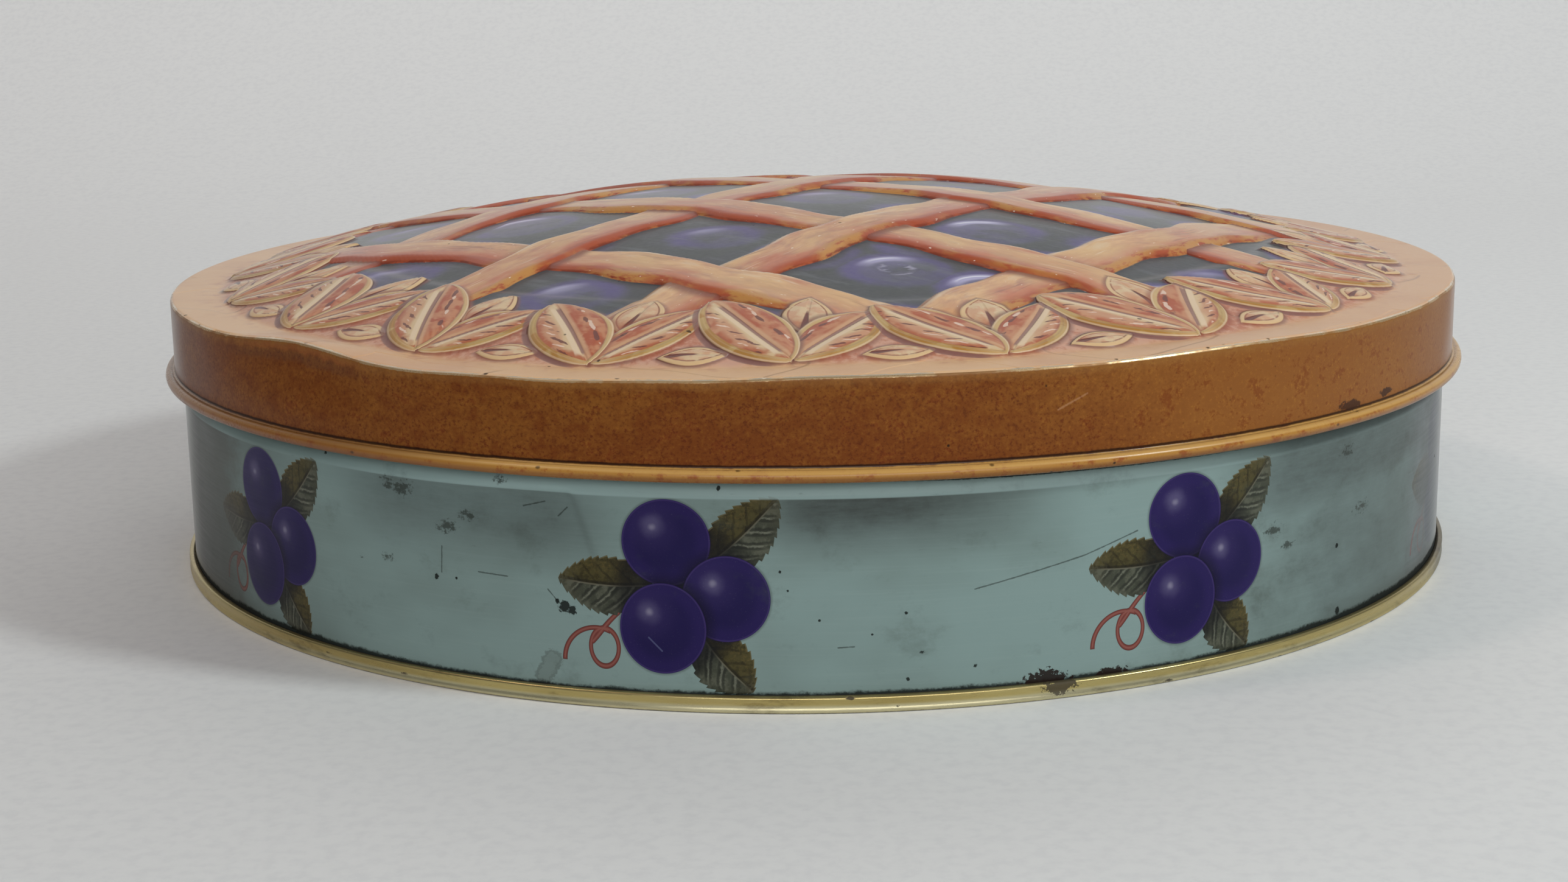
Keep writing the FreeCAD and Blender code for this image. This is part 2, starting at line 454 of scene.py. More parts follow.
def garland(sizes, x, y):
    """The garland's forms, lowest first: outer buds, inner buds, under leaves, top leaves."""
    step = 2 * math.pi / sizes.leaf_pairs
    reach = span(x, y)
    angle = bearing(x, y)
    reach = reach + cosine(angle * 9 + 4.0) * (reach - DOME_FOOT_R) * 0.09
    angle = angle + 0.016 - sine(angle) * 0.028 + cosine(angle * 4 - 0.53) * 0.0128
    angle = off_whole(angle / step) * step
    return [
        merged(one_leaf(reach, angle, *OUTER_BUD), one_leaf(reach, angle + step, *OUTER_BUD)),
        one_leaf(reach, angle, *INNER_BUD),
        merged(one_leaf(reach, angle, *UNDER_LEAF), one_leaf(reach, angle + step, *UNDER_LEAF)),
        merged(one_leaf(reach, angle, *TOP_LEAF), one_leaf(reach, angle - step, *TOP_LEAF)),
    ]


def relief(sizes, x, y):
    """How far the pressing stands above the smooth dome."""
    reach = span(x, y)
    first, second = lattice(sizes, x, y)
    height = higher(first.height, second.height) * (1 - smooth(reach, *LATTICE_END))
    bed = smooth(reach, *BED_START) * (1 - smooth(reach, *BED_END)) * BED_RELIEF
    height = higher(height, bed)
    for form in garland(sizes, x, y):
        groove = (1 - smooth(size_of(form.side), 0.2, 0.9)) * smooth(form.edge, 0.8, 2.0) * 0.15
        swell = smooth(form.edge, 0.9, 2.6) * 0.25
        height = between(height, form.height + swell - groove, smooth(form.edge, -0.7, 0.9))
    return height * (1 - smooth(reach, *PRESSING_END))


def relief_under(sizes, x, y):
    """The same from beneath, where every form is narrower by the sheet and its bends."""
    narrower = 1.3
    return np.min([relief(sizes, x + narrower * math.cos(a), y + narrower * math.sin(a))
                   for a in np.linspace(0, 2 * math.pi, 9)], axis=0)


def dome(radii, drop=0.0):
    """Points along the smooth dome and the flat rim."""
    inside = np.minimum(radii, DOME_FOOT_R)
    heights = RIM_Z + DOME_RISE - SPHERE_R + np.sqrt(SPHERE_R ** 2 - inside ** 2)
    return [(r, float(z) - drop) for r, z in zip(radii, heights)]


# Meshes turned about the tin's axis


def turned_points(angles, radius, height):
    return np.stack([radius * np.sin(angles), -radius * np.cos(angles), height], 1)


def turned(name, profile, counts, rows=0, inside=False, shape=None):
    """A skin turned from (radius, height) points, with a count of sectors for each.

    Where a count doubles, the sectors split in two. Rows above nought cut the map into that many
    strips; otherwise the map is a disc, closed in the middle. The shape moves points given their
    angle, radius and height.
    """
    profile = np.array(profile, float)
    steps = np.hypot(*np.diff(profile, axis=0).T)
    travelled = np.concatenate([[0], np.cumsum(steps)]) + profile[0][0] * (rows == 0)
    starts = np.concatenate([[0], np.cumsum(counts)])
    angles = np.concatenate([np.arange(n) * (2 * math.pi / n) for n in counts])
    radius, height = np.repeat(profile, counts, axis=0).T
    plain = turned_points(angles, radius, height)
    if shape:
        radius, height = shape(angles, radius, height)
    points = turned_points(angles, radius, height) * MM
    faces = []
    map_points = []

    def add(*corners):
        """Corners are (ring, sector) pairs in turn."""
        if inside:
            corners = corners[::-1]
        columns = [starts[ring] + sector % counts[ring] for ring, sector in corners]
        faces.extend(np.stack(columns, 1).tolist())
        turns = np.stack([sector / counts[ring] for ring, sector in corners], 1)
        out = np.stack([np.full(len(sector), travelled[ring]) for ring, sector in corners], 1)
        out = out / travelled[-1]
        if rows:
            row = np.floor(turns.mean(1) * rows + 1e-9)[:, None]
            u = (turns * rows - row) * (1 - 2 * MAP_EDGE) + MAP_EDGE
            v = (row + STRIP_EDGE + (1 - 2 * STRIP_EDGE) * out) / rows
        else:
            out = out * (0.5 - MAP_EDGE)
            u = 0.5 + out * np.sin(turns * 2 * math.pi)
            v = 0.5 - out * np.cos(turns * 2 * math.pi)
        map_points.append(np.stack([u, v], 2).reshape(-1, 2))

    if not rows:
        add(*[(0, np.array([sector])) for sector in range(counts[0])])
    for ring, n in enumerate(counts[:-1]):
        j = np.arange(n)
        nxt = ring + 1
        if counts[nxt] == n:
            add((ring, j), (nxt, j), (nxt, j + 1), (ring, j + 1))
        else:
            add((ring, j), (nxt, 2 * j), (nxt, 2 * j + 1))
            add((ring, j), (nxt, 2 * j + 1), (ring, j + 1))
            add((ring, j + 1), (nxt, 2 * j + 1), (nxt, 2 * j + 2))
    mesh = bpy.data.meshes.new(name)
    mesh.from_pydata(points.tolist(), [], faces)
    layer = mesh.uv_layers.new(name="OFBake")
    layer.data.foreach_set("uv", np.concatenate(map_points).astype(np.float32).ravel())
    mesh.shade_smooth()
    places = mesh.attributes.new(SHEET_PLACE, "FLOAT_VECTOR", "POINT")
    places.data.foreach_set("vector", plain.astype(np.float32).ravel())
    piece = bpy.data.objects.new(name, mesh)
    bpy.context.scene.collection.objects.link(piece)
    return piece


def disc_rings(radii, finest):
    """Sector counts that keep the faces about square from the middle out."""
    most_halvings = 6
    return [finest // 2 ** min(int(math.log2(max(radii) / radius)), most_halvings)
            for radius in radii]


def arc(centre, radius, start, end, steps):
    """Points along an arc, in degrees from the outward direction."""
    angles = np.radians(np.linspace(start, end, steps + 1))
    return [(centre[0] + radius * math.cos(a), centre[1] + radius * math.sin(a)) for a in angles]


def line(start, end, steps):
    """Points along a line, without its last one."""
    return [(start[0] + (end[0] - start[0]) * n / steps, start[1] + (end[1] - start[1]) * n / steps)
            for n in range(steps)]


def dress(piece, material, body, node):
    """Gives a piece its finish and its body, and hides the imported node that it stands for."""
    piece.data.materials.append(material)
    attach(piece, body)
    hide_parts(node)


# Dents


def wrapped(angles, middle=0.0):
    """Degrees from the middle, either way round."""
    return (np.degrees(angles) - middle + 180) % 360 - 180


def facing(angles, middle, half):
    """One at an angle in degrees from the front, fading to nought half away."""
    return 1 - smooth(np.abs(wrapped(angles, middle)), 0, half)


def lid_dents(angles, radius, height):
    """The rim is knocked in and buckled at the left of the front, and stands proud to its right."""
    degrees = wrapped(angles)
    top = smooth(height, 39, 50)
    near_edge = smooth(radius, 109, 119) * top
    on_rim = smooth(radius, 98, 112) * top
    knock = 2.0 * facing(angles, -43.5, 15) + 0.3 * facing(angles, 64, 6)
    buckle = 0.95 * facing(angles, -44, 10) + 0.5 * facing(angles, 33, 14)
    sway = 0.65 * smooth(degrees, -10, 2) * (1 - smooth(degrees, 120, 170))
    sway = sway - 0.4 * facing(angles, -19, 9) - 0.5 * facing(angles, -30, 9)
    return radius - near_edge * knock, height + near_edge * buckle + on_rim * sway


def wall_dents(angles, radius, height):
    """A shallow buckle that ends in a crease left of the front sprig, and softer knocks.

    The edge that the lid covers is knocked in where the lid is."""
    degrees = wrapped(angles)
    below_shoulder = 1 - smooth(height, 31.5, 33.5)
    crease = -16.1 - (height - 23.8) * 0.175
    buckle = smooth(degrees, -31, -19) * (1 - smooth(degrees, crease - 0.4, crease + 0.5))
    buckle = 0.95 * buckle * smooth(height, 17, 26) * below_shoulder
    hollow = 0.7 * facing(angles, 1, 19) * smooth(height, 12, 27) * (1 - smooth(height, 28.5, 32.8))
    knock = 0.3 * facing(angles, 24, 8) * smooth(height, 20, 30) * below_shoulder
    knocked, lifted = lid_dents(angles, radius - buckle - hollow - knock, height)
    return knocked, np.minimum(lifted, height)


# Finishes. A plain tuple of three is a colour as a screen shows it; each print is a base with
# colours laid over it in turn, each through its mask.

# Marks, in millimetres round the tin from the front and up it: chips and smudges with their
# radius, rust with its half width and half height, scratches and a stain from end to end
WALL_CHIPS = (
    (-60.1, 17.4, 0.55), (-56.4, 17.6, 0.3), (-37.8, 14.9, 1.1), (-36.5, 14.5, 0.9),
    (-38.9, 15.7, 0.5), (-13.6, 33.9, 0.4), (94.5, 4.0, 0.8), (-4.8, 21.3, 0.3),
    (-3.7, 18.5, 0.2), (8.6, 11.7, 0.2), (13.7, 14.8, 0.3), (0.9, 14.0, 0.25),
    (13.9, 4.6, 0.35), (93.7, 15.0, 0.5),
)
WALL_SMUDGES = (
    (-70.0, 19.3, 0.9), (-57.9, 25.5, 1.3), (-54.0, 27.6, 1.2), (-66.0, 30.6, 1.6),
    (-69.0, 31.2, 1.3), (-48.0, 33.6, 0.8), (77.3, 20.5, 1.4), (101.4, 20.0, 1.6),
    (96.0, 30.1, 1.4), (80.5, 17.5, 1.0),
)
WALL_RUST = ((35.2, SEAM_TOP, 3.9, 1.9), (46.2, SEAM_TOP, 2.8, 1.0))
WALL_SCRATCHES = (
    ((-58.9, 22.3), (-59.1, 18.2)), ((-52.3, 19.0), (-47.2, 18.8)), ((-44.4, 29.8), (-40.8, 30.7)),
    ((-38.7, 28.6), (-37.2, 30.0)), ((-40.4, 17.4), (-38.6, 15.4)), ((24.0, 17.8), (41.2, 21.5)),
    ((3.6, 9.8), (6.0, 9.9)), ((41.2, 21.5), (50.3, 24.3)),
)
WALL_NICK = ((-24.6, 11.0), (-22.6, 9.0))
WALL_STAIN = ((-40.0, 6.6), (-41.6, 3.8))
SKIRT_RUST = ((94.5, 38.2, 4.0, 1.1), (106.5, 38.6, 2.6, 0.7))
SKIRT_SCRATCH = ((36.6, 44.0), (41.2, 45.9))
SEAM_RUST = (37.0, 2.0, 3.0, 1.7)


def berry_ink(ink, sizes, colours, across, along):
    """Berries, one in each opening of the lattice and others between, with shines and crowns."""
    spacing = sizes.strip_pitch / MM / 2
    here = ink.vector(along / spacing + 0.25, across / spacing + 0.25, 0.0)
    away, spot, number = ink.spots(here, 0.5)
    offset = ink.node("ShaderNodeVectorMath", {"operation": "SUBTRACT"}, {0: here, 1: spot}, 0)
    da, db, _ = ink.apart(offset)
    cos, sin = math.cos(sizes.lattice_turn), math.sin(sizes.lattice_turn)
    reach = away * spacing
    upward = ((da * sin + db * cos) * 0.92 - (da * cos - db * sin) * 0.38) / (away + 0.01)
    wash = ink.noise(along * 0.12, across * 0.12, 1.0, 5.0, 0.62)
    swirl = ink.noise(upward * 1.5 + number * 9, reach * 0.3, 3.0, 3.0)
    smoke = ink.noise(along * 0.06, across * 0.3, 4.0, 4.0, 0.65)
    wobble = swirl - 0.5
    crown = above(number, 0.35) * 0.7
    petals = band(reach + wobble * 4.0, 4.0, 0.05, 0.6) * smooth(wash + swirl, 0.96, 1.08)
    crescent = band(reach + wobble * 1.4, 6.6, 0.5, 1.5) * smooth(upward, 0.4, 0.95)
    glint = band(reach + wobble * 2.5, 6.9, 0.1, 0.4) * smooth(upward, 0.7, 0.97)
    return ink.over(
        colours.berry_violet,
        (colours.berry_grey, smooth(wash, 0.4, 0.62) * 0.75),
        ((130, 124, 168), smooth(upward, -0.3, 0.9) * smooth(reach, 10, 5) * 0.38),
        ((84, 68, 138), band(reach + wobble * 3, 8.4, 0.5, 1.8) * 0.55),
        ((66, 72, 68), smooth(upward, -0.1, -0.9) * smooth(reach, 3, 8) * 0.45),
        (colours.berry_dark, smooth(reach + (wash - 0.5) * 3, 8.4, 11.2) * 0.85),
        ((106, 111, 116), smooth(smoke, 0.52, 0.68) * 0.42),
        ((76, 80, 84), smooth(reach, 4.2, 2.0) * crown),
        ((176, 172, 196), petals * crown),
        ((190, 184, 222), crescent * 0.85),
        ((236, 236, 246), glint * 0.9))


def strip_ink(ink, colours, strip):
    """One pastry strip: softly brushed, pale along its upper edge and baked along its lower one."""
    along, side, number = strip.along, strip.side, strip.number
    swirl = ink.noise(along * 0.055, side * 0.11, number * 3.7, 3.0, 0.55)
    streak = ink.noise(along * 0.1, side * 0.3 + swirl * 2.0, number * 1.9 + 30, 4.0, 0.6)
    fine = ink.noise(along * 0.3, side * 1.0, number * 5.1 + 40, 3.0, 0.6)
    mauve = ink.noise(along * 0.13, side * 0.3, number * 4.3 + 60, 3.0, 0.6)
    lines = ink.noise(along * 0.07, side * 0.9, number * 7.1 + 11, 2.0, 0.6)
    yolk = smooth(ink.noise(along * 0.06, side * 0.1, number * 2.3 + 80, 3.0), 0.46, 0.62)
    glint = smooth(ink.noise(along * 0.5, side * 1.4, number + 9.0, 2.0), 0.7, 0.74)
    brush, grit = streak - 0.5, fine - 0.5
    slope = side + brush * 3.2 + grit * 0.8
    bake = 0.58 + (swirl - 0.5) * 1.2 + brush * 1.1 + grit * 0.35 - smooth(slope, -4.0, 4.0) * 0.3
    crust = ink.node("ShaderNodeValToRGB", {"stops": (
        (0.0, (186, 96, 62)), (0.22, (206, 130, 98)), (0.46, colours.crust_peach),
        (0.68, colours.crust_cream), (0.95, colours.crust_pale))}, {"Fac": bake}, "Color")
    golden = higher(yolk, smooth(swirl, 0.56, 0.64)) * smooth(fine, 0.34, 0.5)
    lower_edge = ink.over((172, 74, 42), ((202, 150, 76), golden * 0.85))
    burnt = smooth(strip.edge, 1.0, 0.1) * above(side, 0) * smooth(fine + yolk * 0.2, 0.62, 0.46)
    crust = ink.over(
        crust,
        ((176, 120, 108), smooth(mauve, 0.5, 0.68) * 0.45),
        ((226, 186, 128), yolk * smooth(slope, 4.5, 0.5) * 0.5),
        ((158, 96, 80), smooth(lines, 0.58, 0.7) * smooth(swirl, 0.58, 0.44) * 0.5),
        ((244, 218, 190), smooth(lines, 0.38, 0.28) * smooth(slope, 3.0, 1.0) * 0.5),
        (colours.crust_pale, band(side, -5.2, 0.2, 0.6) * smooth(streak, 0.35, 0.55) * 0.6),
        ((204, 112, 70), smooth(slope, 1.4, 3.6) * smooth(yolk, 1.0, 0.2) * 0.6),
        (lower_edge, smooth(slope, 3.0, 4.7) * 0.85),
        ((112, 44, 30), burnt * 0.8),
        ((250, 232, 214), glint * 0.7))
    return crust, bake


def leaf_ink(ink, form, upper, x, y):
    """One pastry leaf: an outline, a midrib, a cream half and a baked half with dabs of the brush.

    Upper is 1 or -1, the sign of the half away from the rim."""
    below = form.side * -upper
    lower_half = smooth(below, -0.1, 0.1)
    off = size_of(form.side)
    cloud = ink.noise(x * 0.22, y * 0.22, upper * 7.0, 3.0, 0.55)
    wave = ink.noise(form.part_way * 3.2, form.side * 0.4 + upper * 9, cloud * 2, 2.0, 0.5)
    some = ink.noise(x * 0.25, y * 0.25, 21.0, 2.0)
    sway, drift = wave - 0.5, cloud - 0.5
    near_outline = smooth(form.edge + sway * 3.0, 2.9, 1.5)
    cream = ink.over(
        (222, 191, 147),
        ((204, 143, 106), smooth(off + sway * 3.5, 1.2, 2.8) * 0.9),
        ((180, 86, 46), near_outline * smooth(cloud, 0.4, 0.56) * 0.85))
    baked = ink.over(
        (202, 137, 97),
        ((176, 76, 36), smooth(wave + drift * 0.8, 0.42, 0.64) * 0.9),
        ((216, 172, 132), smooth(off, 1.3, 0.7) * 0.7))

    # Dabs: dark and pale ones by turns, lengthwise on the baked half and oblique on the cream one
    dabs = between(form.part_way * 4.2 - off * 0.12, form.part_way * 6.4 - off * 0.42, lower_half)
    dabs = dabs + drift * 1.2
    row = between(2.9, 2.6, lower_half) + sway * 2.0
    across = (off - row) / between(0.42, 0.95, lower_half)
    dark_dab = span(off_whole(dabs) / between(0.34, 0.13, lower_half), across)
    pale_dab = span(off_whole(dabs + 0.5) / between(0.26, 0.11, lower_half), across - 0.6)
    inside = smooth(form.edge, 1.2, 1.6)

    outline = ink.over(
        (210, 170, 118),
        ((180, 130, 60), smooth(below, 0.5, 4.5)),
        ((206, 178, 120), smooth(wave, 0.44, 0.6) * 0.6))
    off_outline = form.edge - (1.0 + smooth(below, -1.0, 2.0) * 0.35 + drift * 0.5)
    middle = smooth(form.part_way, 0.08, 0.13) * smooth(form.part_way, 0.88, 0.82)
    return ink.over(
        baked,
        (cream, lower_half),
        ((108, 50, 40), smooth(dark_dab, 1.05, 0.75) * inside * smooth(some, 0.4, 0.46) * 0.9),
        ((240, 214, 194), smooth(pale_dab, 1.0, 0.7) * inside * smooth(some, 0.56, 0.5) * 0.8),
        ((150, 88, 62), band(off_outline, 0.14, 0.08, 0.2) * smooth(wave, 0.4, 0.55) * 0.55),
        (outline, smooth(off_outline, 0.12, -0.12)),
        ((238, 210, 182), band(form.edge, 0.2, 0.06, 0.16) * 0.5),
        ((236, 210, 178), band(below, 0.85, 0.3, 0.3) * middle * 0.7),
        ((148, 104, 94), smooth(off - form.part_way * 0.24, 0.3, 0.12) * middle * 0.9))


def bud_ink(ink, colours, form, x, y):
    """A small bud: cream with an outline and a brown heart."""
    cloud = ink.noise(x * 0.5, y * 0.5, 14.0, 3.0)
    heart = size_of(form.side) - (0.62 - form.part_way) * 1.1
    return ink.over(
        (224, 194, 154),
        ((214, 160, 124), smooth(cloud, 0.4, 0.6) * 0.8),
        (colours.crust_orange, smooth(form.part_way, 0.5, 0.15) * 0.7),
        ((112, 52, 40), smooth(heart, 0.25, 0.0) * smooth(form.part_way, 0.62, 0.5)),
        ((156, 88, 56), band(form.edge, 0.95, 0.08, 0.16) * smooth(cloud, 0.36, 0.5) * 0.8),
        ((226, 190, 142), smooth(form.edge, 0.9, 0.72)))


def rubbed_edge_and_highlight(ink, x, y):
    """Where the lid's edge is rubbed bright: worn to the metal, with a painted highlight broken
    along it.
    """
    return smooth(ink.noise(x * 0.09, y * 0.09, 17.0, 4.0, 0.7), 0.4, 0.56) * 0.8 + 0.2


def print_pie(sizes, colours):
    """The printed pie: pastry strips over berries, leaves, and the flat rim."""
    ink = Finish("pie_print")
    x, y, z = ink.place()
    reach = span(x, y)
    cloud = ink.noise(x * 0.05, y * 0.05, z * 0.05, 3.0)
    grain = ink.noise(x * 0.9, y * 0.9, z * 0.9, 3.0, 0.6)
    streak = ink.noise(x * 0.3, y * 0.3, 3.0, 4.0)
    grit = grain - 0.5

    # Strips, with the shadow that each throws below it
    first, second = lattice(sizes, x, y)
    second_over = above(second.height, first.height)
    strip = Strip(*[between(a, b, second_over) for a, b in zip(first, second)])
    under = Strip(*[between(b, a, second_over) for a, b in zip(first, second)])
    on_berries = higher(*[smooth(one.edge, -2.4, -0.2) * above(one.side, 0)
                          for one in (first, second)])
    on_under = smooth(under.edge, -2.6, 0.0) * above(under.rise, strip.rise)
    pastry, bake = strip_ink(ink, colours, strip)
    pastry = ink.over(pastry, ((123, 54, 36), on_under * (0.3 + above(under.side, 0) * 0.5)))
    on_strip = smooth(higher(first.edge, second.edge), -0.1, 0.2)

    # The bed of the garland and the flat rim
    bed = ink.over((212, 160, 134), ((192, 118, 88), smooth(cloud + grain, 0.85, 1.2)))
    rim = ink.over(
        colours.crust_cream,
        (colours.crust_peach, smooth(cloud, 0.42, 0.7) * 0.5),
        ((198, 133, 100), smooth(streak, 0.5, 0.72) * smooth(reach, 117, 111) * 0.7),
        # Painted shade: the rim darker and more orange towards the right, where the right lamp
        # falls strongly
        ((208, 148, 104), smooth(x, 10, 90) * 0.35))
    crust = ink.over(
        berry_ink(ink, sizes, colours, second.along, first.along),
        ((38, 36, 42), on_berries * 0.8),
        (pastry, on_strip),
        (bed, smooth(reach + grit * 3, 97.0, 99.0)),
        (rim, smooth(reach + (streak - 0.5) * 3, 109.0, 112.2)))

    # Buds and leaves, and the shade round them
    crisp = smooth(strip.edge, 0.0, 0.7) * on_strip * 0.25
    warm = ink.over(colours.crust_shade, ((150, 74, 50), smooth(cloud, 0.4, 0.6)))
    for form, upper in zip(garland(sizes, x, y), (0, 0, 1, -1)):
        shade = [(warm, smooth(form.edge, -1.2, -0.05) * 0.68)]
        if upper < 0:
            beyond = smooth(form.edge, -1.15, -0.8) * smooth(form.side, 1.5, 3.5)
            shade.append(((138, 96, 90), beyond * 0.8))
        print_on = (leaf_ink(ink, form, upper, x, y) if upper
                    else bud_ink(ink, colours, form, x, y))
        crust = ink.over(crust, *shade, (print_on, smooth(form.edge, -0.05, 0.12)))
        ridge = band(form.edge, 0.5, 0.2, 0.4) * 0.12
        raised = 0.3 + ridge - band(form.side, 0, 0.15, 0.3) * 0.1
        crisp = between(crisp, raised, smooth(form.edge, -0.25, 0.15))

    # Wear: chips, and the rim's edge worn to the metal and painted pale as a highlight
    edge_chips = ink.specks(x * 0.4, y * 0.4, z * 0.4, 0.0, 0.2, 0.1, 0.7)
    chips = higher(edge_chips * smooth(reach, LID_R - 1.3, LID_R - 0.7),
                   ink.specks(x * 0.11, y * 0.11, z * 0.11, grit * 0.1, 0.04, 0.02, 0.5))
    metal_edge_highlight = smooth(reach + grit * 0.4, LID_R - 0.55, LID_R - 0.4)
    metal_edge_highlight = metal_edge_highlight * (1 - chips) * rubbed_edge_and_highlight(ink, x, y)
    return ink.surface(
        # The worn edge painted pale as a highlight; dark chips
        ink.over(crust, ((236, 222, 198), metal_edge_highlight * 0.8), ((54, 40, 31), chips * 0.85)),
        roughness=0.38 + grit * 0.14 + (cloud - 0.5) * 0.1 + chips * 0.3 - metal_edge_highlight * 0.2,
        height=crisp + grain * 0.015 + bake * 0.04 * on_strip, strength=0.8,
        metallic=metal_edge_highlight * 0.5, specular=0.3, coat=ink.glancing(0.76, 0.91) * 0.58,
        coat_roughness=0.3)


def print_skirt(colours):
    """The skirt's brown print, mottled like a baked crust."""
    ink = Finish("skirt_print")
    x, y, z = ink.place()
    around = bearing(x, y) * LID_R
    front = smooth(size_of(around), 260, 160)
    cloud = ink.noise(x * 0.035, y * 0.035, z * 0.07, 3.0, 0.55)
    mottle = ink.noise(x * 0.35, y * 0.35, z * 0.45, 5.0, 0.72)
    fine = ink.noise(x * 1.7, y * 1.7, z * 1.9, 4.0, 0.72)
    blotch, grit = mottle - 0.5, fine - 0.5
    # Paler towards the right of the front
    paler_to_right = smooth(around + (cloud - 0.5) * 30, 10, 75) * front
    freckles = ink.specks(x * 0.9, y * 0.9, z * 1.0, grit * 0.4, 0.2, 0.08, 0.8)

    # The rub below the knocked edge, a pale scratch, and the edge itself, worn to the metal and
    # painted pale as a highlight
    high = z + blotch * 2.2
    rub = band(around, -90.0, 8.0, 12.0) * band(high, SKIRT_TOP, 0.2, 0.5)
    below_rub = band(around, -92.0, 10.0, 14.0) * band(high, SKIRT_TOP - 1.3, 0.3, 0.9)
    scratch = smooth(stroke(around, z, *SKIRT_SCRATCH) + grit * 0.3, 0.2, 0.05)
    worn_skirt_edge_highlight = smooth(z + (blotch + grit) * 0.3, SKIRT_TOP + 0.6, SKIRT_TOP + 0.78)
    worn_skirt_edge_highlight = worn_skirt_edge_highlight * rubbed_edge_and_highlight(ink, x, y)

    # The curl, with a painted highlight along its top and painted shade on its lower half and
    # towards the left
    curl = smooth(z, HEM_CREASE_Z + 0.05, HEM_CREASE_Z - 0.25)
    golden = ink.over(
        (176, 126, 58),
        ((140, 62, 24), smooth(mottle + grit * 0.3, 0.5, 0.66) * 0.75),
        # Painted highlight along the curl's top
        ((208, 164, 96), band(z, HEM_Z + 0.75, 0.15, 0.3) * 0.7),
        # Painted shade on the curl's lower half
        ((112, 62, 28), smooth(z, HEM_Z + 0.3, HEM_Z - 0.4) * 0.6),
        # Painted shade: the curl darker towards the left
        ((118, 66, 30), smooth(around, -40, -85) * front * 0.65))

    # Wear: chips along the curl and the top edge and a few between, and rust low at the right
    edge_chips = ink.specks(x * 0.3, y * 0.3, z * 0.5, grit * 0.1, 0.16, 0.06, 0.75)
    chips = higher(edge_chips * higher(curl * 0.8, smooth(z, SKIRT_TOP, SKIRT_TOP + 0.5)),
                   ink.specks(x * 0.2, y * 0.2, z * 0.2, grit * 0.08, 0.06, 0.03, 0.7))
    rust = lower(*[oval(around, z, *mark) for mark in SKIRT_RUST])
    brown = ink.over(
        colours.skirt_brown,
        (colours.skirt_gold, smooth(cloud * 0.6 + mottle * 1.1, 0.74, 1.04) * 0.85),
        ((152, 100, 46), paler_to_right * 0.5),
        (colours.skirt_red, smooth(mottle + grit * 0.5, 0.52, 0.66) * 0.55),
        ((78, 32, 10), smooth(fine, 0.5, 0.64) * smooth(paler_to_right, 1.0, 0.2) * 0.5),
        ((158, 104, 40), smooth(fine, 0.44, 0.32) * (0.25 + paler_to_right * 0.35)),
        ((68, 26, 12), freckles * 0.45),
        ((138, 70, 34), rub * 0.5),
        ((82, 56, 46), below_rub * 0.3),
        ((150, 106, 56), smooth(high, SKIRT_TOP - 1.0, SKIRT_TOP + 0.6) * 0.4),
        # Worn edge, painted pale as a highlight
        ((216, 188, 146), worn_skirt_edge_highlight * 0.8),
        (golden, curl),
        # Painted shade: a dark line in the crease above the curl
        ((23, 9, 4), band(z + blotch * 0.3, HEM_CREASE_Z, 0.1, 0.25) * 0.85),
        ((36, 20, 12), chips * 0.9),
        ((54, 28, 14), smooth(rust + blotch * 2.4 + grit * 0.8, 0.85, 0.6) * 0.88),
        ((176, 130, 92), scratch * 0.5))
    return ink.surface(
        brown,
        roughness=0.37 + (cloud - 0.5) * 0.16 + grit * 0.12 - curl * 0.08 - worn_skirt_edge_highlight * 0.1,
        height=fine * 0.015 + mottle * 0.02 - chips * 0.04, strength=0.6,
        metallic=worn_skirt_edge_highlight * 0.6, specular=0.12,
        coat=higher(ink.glancing(0.8, 1.0) * 0.9, curl * 0.4), coat_roughness=0.28)


# The sprig, in millimetres about its middle: plums as centre, half width and half height; leaves as
# stem end, tip, half width and the sign of the lit half
PLUMS = ((-0.6, 7.3, 6.7, 6.6), (8.3, -1.1, 6.6, 6.5), (-1.3, -5.85, 6.6, 6.95))
SPRIG_LEAVES = (
    ((-2.6, 0.7), (-17.6, 1.0), 4.5, 1),
    ((5.0, 3.5), (16.3, 14.2), 4.5, -1),
    ((4.2, -6.2), (12.1, -15.3), 4.5, -1),
)


